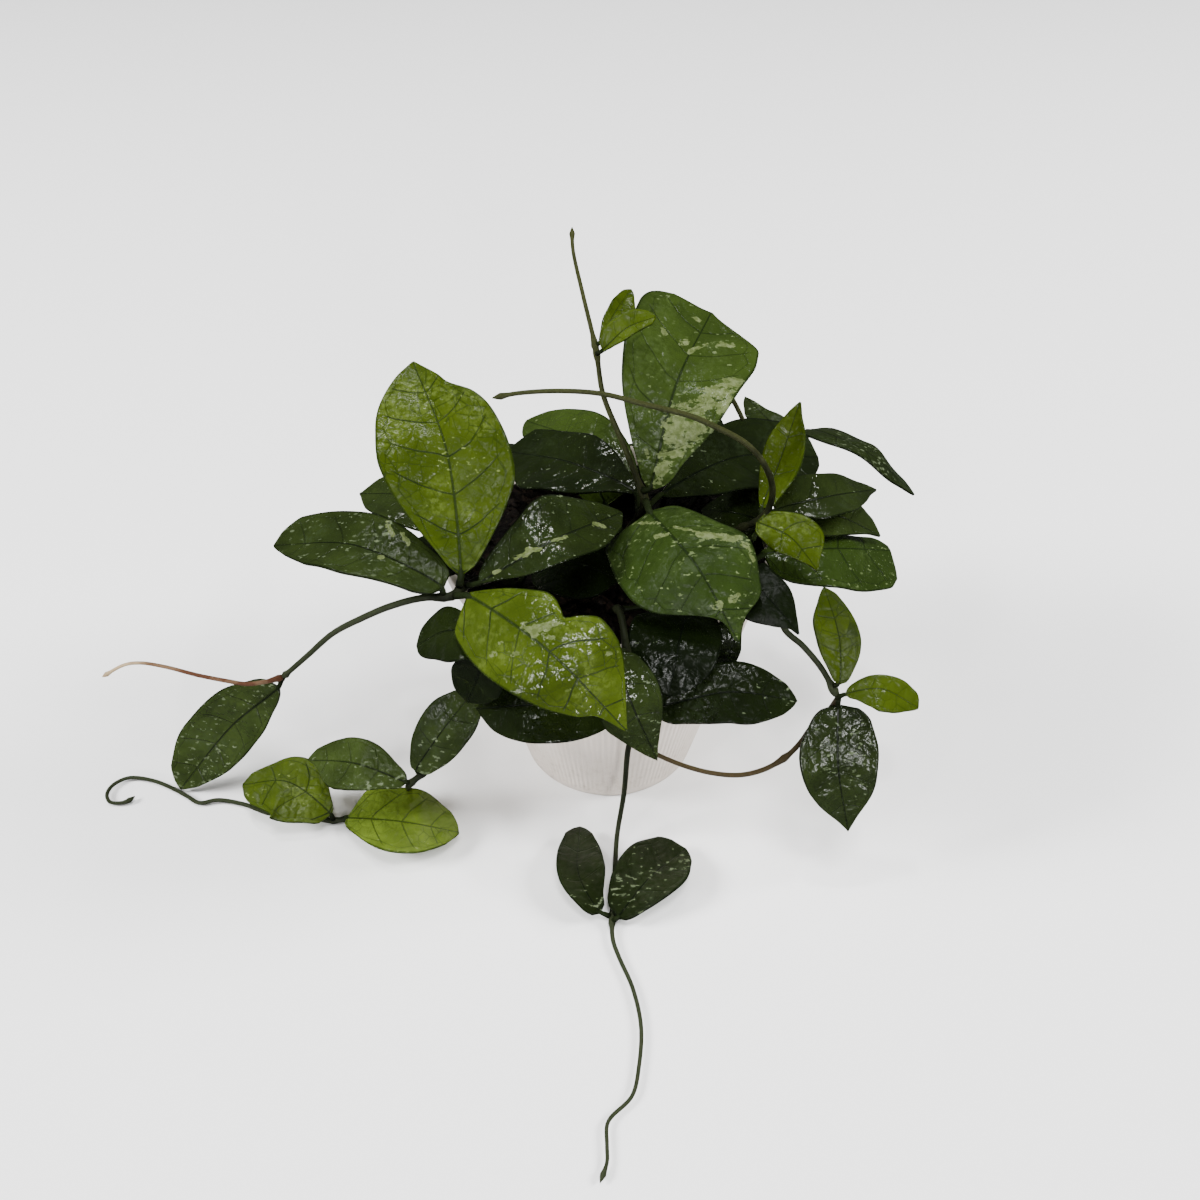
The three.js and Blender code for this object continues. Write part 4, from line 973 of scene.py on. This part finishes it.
OUTLINES = {
    "back_grey": ((50, 75, 90, 85, 45), (50, 70, 60, 40, 15)),
    "left_out": ((60, 75, 95, 80, 35), (60, 85, 95, 100, 85)),
    "left_in": ((40, 75, 100, 95, 45), (15, 45, 60, 60, 35)),
    "left_end": ((35, 70, 80, 70, 35), (60, 90, 95, 95, 60)),
    "centre_left": ((25, 65, 90, 100, 40), (25, 65, 80, 80, 70)),
    "centre_right": ((10, 40, 75, 95, 90), (35, 70, 90, 100, 70)),
    "top_left": ((25, 50, 60, 65, 50), (85, 115, 135, 115, 55)),
    "top_right": ((55, 90, 85, 85, 50), (20, 45, 55, 45, 35)),
    "right_up": ((30, 65, 80, 70, 30), (55, 85, 95, 75, 25)),
    "right_low": ((55, 80, 100, 95, 30), (50, 75, 75, 45, 10)),
    "arching": ((85, 95, 85, 70, 45), (75, 65, 55, 50, 25)),
    "right_in": ((105, 110, 100, 75, 30), (130, 150, 130, 80, 30)),
    "centre_back": ((50, 85, 95, 80, 50), (110, 120, 110, 90, 50)),
    "right_upper": ((80, 95, 80, 65, 30), (25, 70, 70, 50, 15)),
    "right_middle": ((20, 50, 65, 70, 40), (50, 70, 70, 40, 10)),
    "right_down": ((70, 70, 70, 55, 20), (45, 80, 90, 55, 10)),
    "sprig_up": ((40, 80, 95, 90, 40), (45, 80, 85, 70, 40)),
    "sprig_right": ((42, 72, 82, 90, 72), (40, 100, 125, 105, 45)),
    "sprig_down": ((80, 100, 95, 75, 25), (65, 95, 90, 65, 20)),
    "front_right": ((55, 80, 88, 78, 45), (60, 80, 90, 90, 50)),
    "front_point": ((65, 85, 78, 50, 15), (30, 75, 90, 65, 25)),
    "front_under": ((20, 30, 50, 65, 60), (60, 120, 160, 180, 130)),
    "front_shade": ((65, 87, 87, 78, 42), (50, 100, 110, 100, 60)),
    "side_out": ((110, 120, 115, 95, 60), (45, 70, 95, 90, 60)),
    "low_up": ((40, 80, 95, 95, 60), (60, 90, 100, 100, 75)),
    "low_out": ((45, 85, 105, 95, 20), (45, 85, 95, 80, 45)),
    "table_fold": ((75, 125, 140, 120, 80), (35, 85, 95, 60, 35)),
    "table_lime": ((100, 110, 110, 100, 60), (40, 80, 100, 85, 45)),
    "tail_left": ((50, 75, 85, 80, 60), (50, 100, 110, 95, 55)),
    "tail_right": ((65, 100, 115, 115, 90), (45, 75, 90, 85, 50)),
}
CLOSE_OUTLINES = {
    "left_up": (
        ((0, 3), (5, 20), (35, 81), (55, 96), (75, 86), (85, 69), (95, 32), (100, 2)),
        ((0, 3), (5, 24), (35, 85), (45, 90), (65, 79), (75, 63), (83, 36), (90, 24), (100, 2)),
    ),
    "left_front": (
        ((0, 5), (30, 62), (36, 64), (42, 56), (45.5, 50), (50, 68), (56, 83), (75, 68), (100, 2)),
        ((0, 25), (2, 50), (5, 60), (20, 78), (40, 81), (65, 67), (80, 38), (85, 18), (100, 2)),
    ),
    "right_round": (
        ((0, 10), (10, 25), (30, 35), (88, 45), (96, 35), (100, 15)),
        ((0, 35), (5, 55), (20, 80), (60, 102), (92, 95), (100, 72)),
    ),
    "centre_up": (
        ((0, 3), (5, 17), (55, 87), (84, 100), (92, 96), (97, 82), (100, 60)),
        ((0, 3), (5, 22), (15, 37), (35, 70), (72, 93), (80, 91), (86, 82), (96, 20), (100, 2)),
    ),
    "centre_front": (
        ((0, 5), (2, 27), (10, 41), (50, 77), (80, 63), (86, 52), (90, 26), (100, 2)),
        ((0, 5), (2, 60), (5, 77), (45, 93), (65, 74), (84, 10), (100, 2)),
    ),
}


def hundredths(numbers):
    return [number / 100 for number in numbers]


OUTLINES = {name: [hundredths(side) for side in sides] for name, sides in OUTLINES.items()}
CLOSE_OUTLINES = {
    name: [[hundredths(rung) for rung in side] for side in sides] for name, sides in CLOSE_OUTLINES.items()
}
print("measured outlines:", len(OUTLINES) + len(CLOSE_OUTLINES))

# %% [markdown]
# A cream splash is a row of short brush strokes: where each starts and ends in the viewpoint's picture,
# and how far cream reaches from it. The shader tears their edges.

# %% Cream splashes
SPLASHES = {
    "centre_front": (
        (628, 522, 640, 521, 2.2), (640, 523, 660, 524, 1.4), (655, 537, 668, 534, 2),
        (674, 527, 698, 531, 1.6), (698, 533, 738, 537, 3.6), (738, 537, 749, 545, 3.6),
        (748, 545, 755, 560, 2.4), (733, 600, 739, 596, 4.5), (713, 607, 719, 605, 3.5),
    ),
    "centre_up": (
        (728, 388, 706, 398, 10), (735, 384, 722, 410, 6), (706, 402, 676, 416, 9),
        (672, 425, 700, 424, 11), (671, 440, 690, 436, 9), (666, 455, 676, 452, 8), (660, 470, 666, 466, 6),
        (655, 484, 659, 480, 4), (690, 352, 706, 345, 2.5), (706, 345, 732, 348, 3),
        (662, 330, 664, 336, 2.5), (680, 344, 686, 343, 3), (693, 318, 699, 322, 1.4),
        (646, 450, 648, 456, 2),
    ),
    "left_front": (
        (524, 627, 540, 630, 5), (534, 634, 545, 629, 4), (542, 626, 560, 621, 3), (490, 654, 494, 654, 3),
        (513, 655, 517, 655, 3), (499, 643, 502, 642, 2), (547, 639, 553, 638, 2.5),
        (607, 655, 611, 655, 2.5),
    ),
    "left_in": (
        (515, 558, 527, 554, 3), (527, 551, 540, 549, 2.5), (594, 525, 602, 527, 3),
        (553, 541, 566, 538, 2.5), (494, 573, 500, 571, 2),
    ),
    "left_out": (
        (388, 529, 393, 537, 3), (403, 536, 408, 545, 3), (380, 558, 384, 558, 2.5),
    ),
}


def cream_at(leaf, place):
    """How surely cream shows at a place: 1 in the middle of a stroke, 0 past its edge."""
    x, y = picture_of(place)
    best = 0
    for x0, y0, x1, y1, reach in SPLASHES.get(leaf["name"], ()):
        run = (x1 - x0) ** 2 + (y1 - y0) ** 2
        part = min(max(((x - x0) * (x1 - x0) + (y - y0) * (y1 - y0)) / run, 0), 1)
        gap = math.hypot(x - x0 - part * (x1 - x0), y - y0 - part * (y1 - y0))
        best = max(best, 1 - 0.5 * gap / reach)
    return best


print("splashed leaves:", len(SPLASHES))

# %% [markdown]
# The width of a leaf at any place comes from its measured outline, or, for a leaf that the viewpoint
# hardly sees, from a plain formula, whose outline is the leaner the greater LEAN is. Its edge cups by a
# share of that width, and waves along the leaf.

# %% Width and edge of a blade
def profile(rungs, part):
    """Half-width share at a place along a leaf, on a smooth curve through the rungs."""
    last = len(rungs) - 1
    after = max(1, next(i for i, rung in enumerate(rungs) if rung[0] >= part or i == last))
    near = [rungs[min(max(i, 0), last)] for i in range(after - 2, after + 2)]
    gap = near[2][0] - near[1][0]
    rise = [(near[i + 2][1] - near[i][1]) / max(near[i + 2][0] - near[i][0], 1e-6) * gap for i in (0, 1)]
    return blend(min(max((part - near[1][0]) / gap, 0), 1), near[1][1], rise[0], near[2][1], rise[1])


def closing(share, slope):
    """How bluntly an outline closes at its end: the wider there, the blunter."""
    return min(max(1.15 - slope * share, 0.3), 1)


def outline_share(shares, part):
    """Half-width share between five measured ones."""
    first, last = shares[0], shares[-1]
    if part < FIFTHS[0]:
        return first * (part / FIFTHS[0]) ** closing(first, 1.6)
    if part > FIFTHS[-1]:
        return last * ((1 - part) / (1 - FIFTHS[-1])) ** closing(last, 0.85)
    return profile(tuple(zip(FIFTHS, shares)), part)


def width_share(leaf, part, side):
    if leaf["name"] in CLOSE_OUTLINES:
        return profile(CLOSE_OUTLINES[leaf["name"]][side], part)
    if leaf["name"] in OUTLINES:
        return outline_share(OUTLINES[leaf["name"]][side], part)
    inside = min(part / BLADE["mucro"], 1)
    lean = LEAN.get(leaf["name"], USUAL_LEAN) / 2
    taper = 1 - TAPER["share"] * smooth(TAPER["start"], TAPER["end"], part)
    return (2 * inside) ** lean * (2 * (1 - inside)) ** lean * taper


def half_width(leaf, part, across):
    least = BLADE["tip"] * (1 - 0.7 * smooth(0.97, 1, part))
    return max(leaf["width"] / 2 * width_share(leaf, part, 1 if across < 0 else 0), least)


def edge_lift(leaf, part, across):
    phase = 0.6 if across > 0 else 2.3
    ripple = leaf["wave"] * across ** 2 * math.sin(4 * math.pi * part + phase) * math.sin(math.pi * part)
    return leaf["cup"] * abs(across) ** 1.5 * half_width(leaf, part, across) + ripple


print("width of left_up halfway in mm:", round(2 * half_width(leaves[0], 0.5, 1), 1))

# %% [markdown]
# The blade and its stalk are grown along one path, from inside the stem's skin, through the leaf's base,
# to its tip. The leaf faces its own way at its steady place, a little before the middle, and turns from
# there to both ends as the path does. Blade and stalk are joined into one piece, as the stalk runs on
# into the midrib.

# %% Grow the leaves
def leaf_path(leaf):
    stem = stems[leaf["on"]]
    outward = (leaf["base"] - leaf["joint"]).normalized()
    skin = vine_radius(stem, leaf["joint_run"])
    clear = leaf["joint"] + outward * (skin + VINE["gap"])
    lead = clear + outward * min(PETIOLE["lead"], PETIOLE["lead_share"] * (clear - leaf["base"]).length)
    start = leaf["joint"] + outward * skin * PETIOLE["sunk"]
    return Path([start, lead, leaf["base"], leaf["middle"], leaf["tip"]])


def grow_blade(leaf, frames, blade, rows):
    columns = 2 * max(BLADE["columns"], round(leaf["width"] / BLADE["cell"] / 2))
    pairs = max(3, round(blade / VEINS["spacing"]))
    slender = (VEINS["usual_width"] / leaf["width"]) ** VEINS["slender"]
    deselect()
    bpy.ops.mesh.primitive_grid_add(x_subdivisions=columns, y_subdivisions=rows, size=2)
    piece = bpy.context.object
    mesh = piece.data
    veins, marks = [], []
    for corner in mesh.vertices:
        across = -corner.co.x
        part = (corner.co.y + 1) / 2
        place, side, up = frames[round(part * rows)]
        aside = half_width(leaf, part, across) * across
        from_rib = abs(aside)
        phase = pairs * (part - (VEINS["slant"] * from_rib + VEINS["bow"] * from_rib ** 2) / blade)
        swell = min(1, from_rib / RELIEF["flat"]) * (1 - across ** 4)
        puff = -RELIEF["puff"] * math.cos(2 * math.pi * phase) * swell
        groove = -RELIEF["groove"] * bump_at(from_rib, 0, RELIEF["groove_width"]) * (1 - part)
        spot = place + side * aside
        crease = RELIEF["crease"] * noise.noise(spot / RELIEF["crease_size"]) * abs(across)
        crease *= min(1, leaf["width"] / SMALL_LEAF)
        above = edge_lift(leaf, part, across) + BLADE["thick"] / 2 + puff + groove + crease
        corner.co = (spot + up * above) * MM
        veins += (from_rib * slender, phase, abs(across))
        marks += (cream_at(leaf, spot), from_rib, part)
    for name, numbers in (("veins", veins), ("marks", marks), ("habit", leaf["habit"] * len(mesh.vertices))):
        store(mesh, name, numbers)
    finish = "dull" if leaf["habit"][2] > DULL_FROM else "waxy"
    mesh.materials.append(leaf_faces[leaf["tone"], finish])
    mesh.materials.append(leaf_undersides[leaf["tone"]])
    thicken = piece.modifiers.new("thickness", "SOLIDIFY")
    thicken.thickness = BLADE["thick"] * MM
    thicken.offset = -1
    thicken.material_offset = 1
    apply_to(piece, thicken)
    shade_smooth(mesh)
    return piece


def grow_leaf(leaf):
    path = leaf_path(leaf)
    stalk = path.nearest(leaf["base"])[1]
    blade = path.length - stalk
    rows = max(BLADE["rows"], round(blade / BLADE["cell"]))
    runs = [stalk + blade * i / rows for i in range(rows + 1)]
    sideways = Vector(leaf["face"]).cross(leaf["tip"] - leaf["base"]).normalized()
    middle = round(BLADE["steady"] * rows)
    piece = grow_blade(leaf, frames_along(path, runs, middle, sideways), blade, rows)

    thick = PETIOLE["least"] + PETIOLE["per_width"] * leaf["width"]
    keel_end = stalk + KEEL["share"] * blade
    count = max(KEEL["rows"], round(keel_end / KEEL["step"]))
    stations = [keel_end * i / count for i in range(count + 1)]
    anchor = min(range(count + 1), key=lambda i: abs(stations[i] - runs[middle]))

    def keel_radius(distance):
        if distance < stalk:
            return thick * (1 + KEEL["root_swell"] * bump_at(distance, 0, KEEL["root_reach"]))
        return thick - (thick - KEEL["tip"]) * ((distance - stalk) / (KEEL["share"] * blade)) ** 0.6

    def keel_lift(distance):
        below = smooth(stalk - 1, stalk + 0.06 * blade, distance)
        return -below * (BLADE["thick"] / 2 + 0.9 * keel_radius(distance))

    keel = swept("keel", path, stations, keel_radius, KEEL["sides"], stalk_green,
                 lambda distance: smooth(stalk, 0, distance) * 0.6, keel_lift, anchor, sideways)
    piece = joined(f"blade_{leaf['name']}", [piece, keel])
    dress(piece, f"leaf_{leaf['tone']}", f"leaf_{leaf['name']}")
    return triangles(piece)


print("leaf triangles:", sum(grow_leaf(leaf) for leaf in leaves))

# %% [markdown]
# The plant stands on a plain white table under soft studio light: a wide softbox on either side and one
# overhead, which the waxy leaves don't mirror, and three small lamps, low in front, to the left and
# straight above, that draw the broken glints on them.

# %% Table and light
TABLE_SIZE = 14
TABLE_WHITE = (0.93, 0.93, 0.93, 1)
AIM = Vector((0, 0, 0.1))
LIGHTS = (
    ("left_light", (-2.8, -0.5, 1.9), (1.0, 1.0), 215, False),
    ("right_light", (2.7, 0.1, 1.8), (1.0, 1.0), 178, False),
    ("top_light", (0.3, -1.0, 3.3), (0.9, 0.9), 100, False),
    ("front_glint", (0.57, -2.66, 1.0), (0.18, 0.3), 27, True),
    ("left_glint", (-1.45, -1.9, 1.95), (0.12, 0.2), 11, True),
    ("top_glint", (-0.3, 0.2, 3.1), (0.2, 0.2), 28, True),
)
SKY = 0.08


def softbox(name, place, size, power, mirrored):
    light = bpy.data.lights.new(name, "AREA")
    light.shape = "RECTANGLE"
    light.size, light.size_y = size
    light.energy = power
    lamp = add_object(name, light)
    lamp.location = place
    lamp.rotation_euler = (AIM - Vector(place)).to_track_quat("-Z", "Y").to_euler()
    lamp.visible_glossy = mirrored


deselect()
bpy.ops.mesh.primitive_plane_add(size=TABLE_SIZE)
table_top = bpy.context.object
table_top.name = "table_top"
g = Graph("table_white")
table_top.data.materials.append(g.finish(TABLE_WHITE, 0.85, g.bump(g.noise(900), 0.02, 0.0001)))
table_top.visible_glossy = False
for row in LIGHTS:
    softbox(*row)
world = bpy.data.worlds.new("studio")
world.use_nodes = True
backdrop = world.node_tree.nodes["Background"]
backdrop.inputs["Color"].default_value = (1, 1, 1, 1)
backdrop.inputs["Strength"].default_value = SKY
bpy.context.scene.world = world
print("lights:", len(LIGHTS))

# %% Clear the selection
deselect()
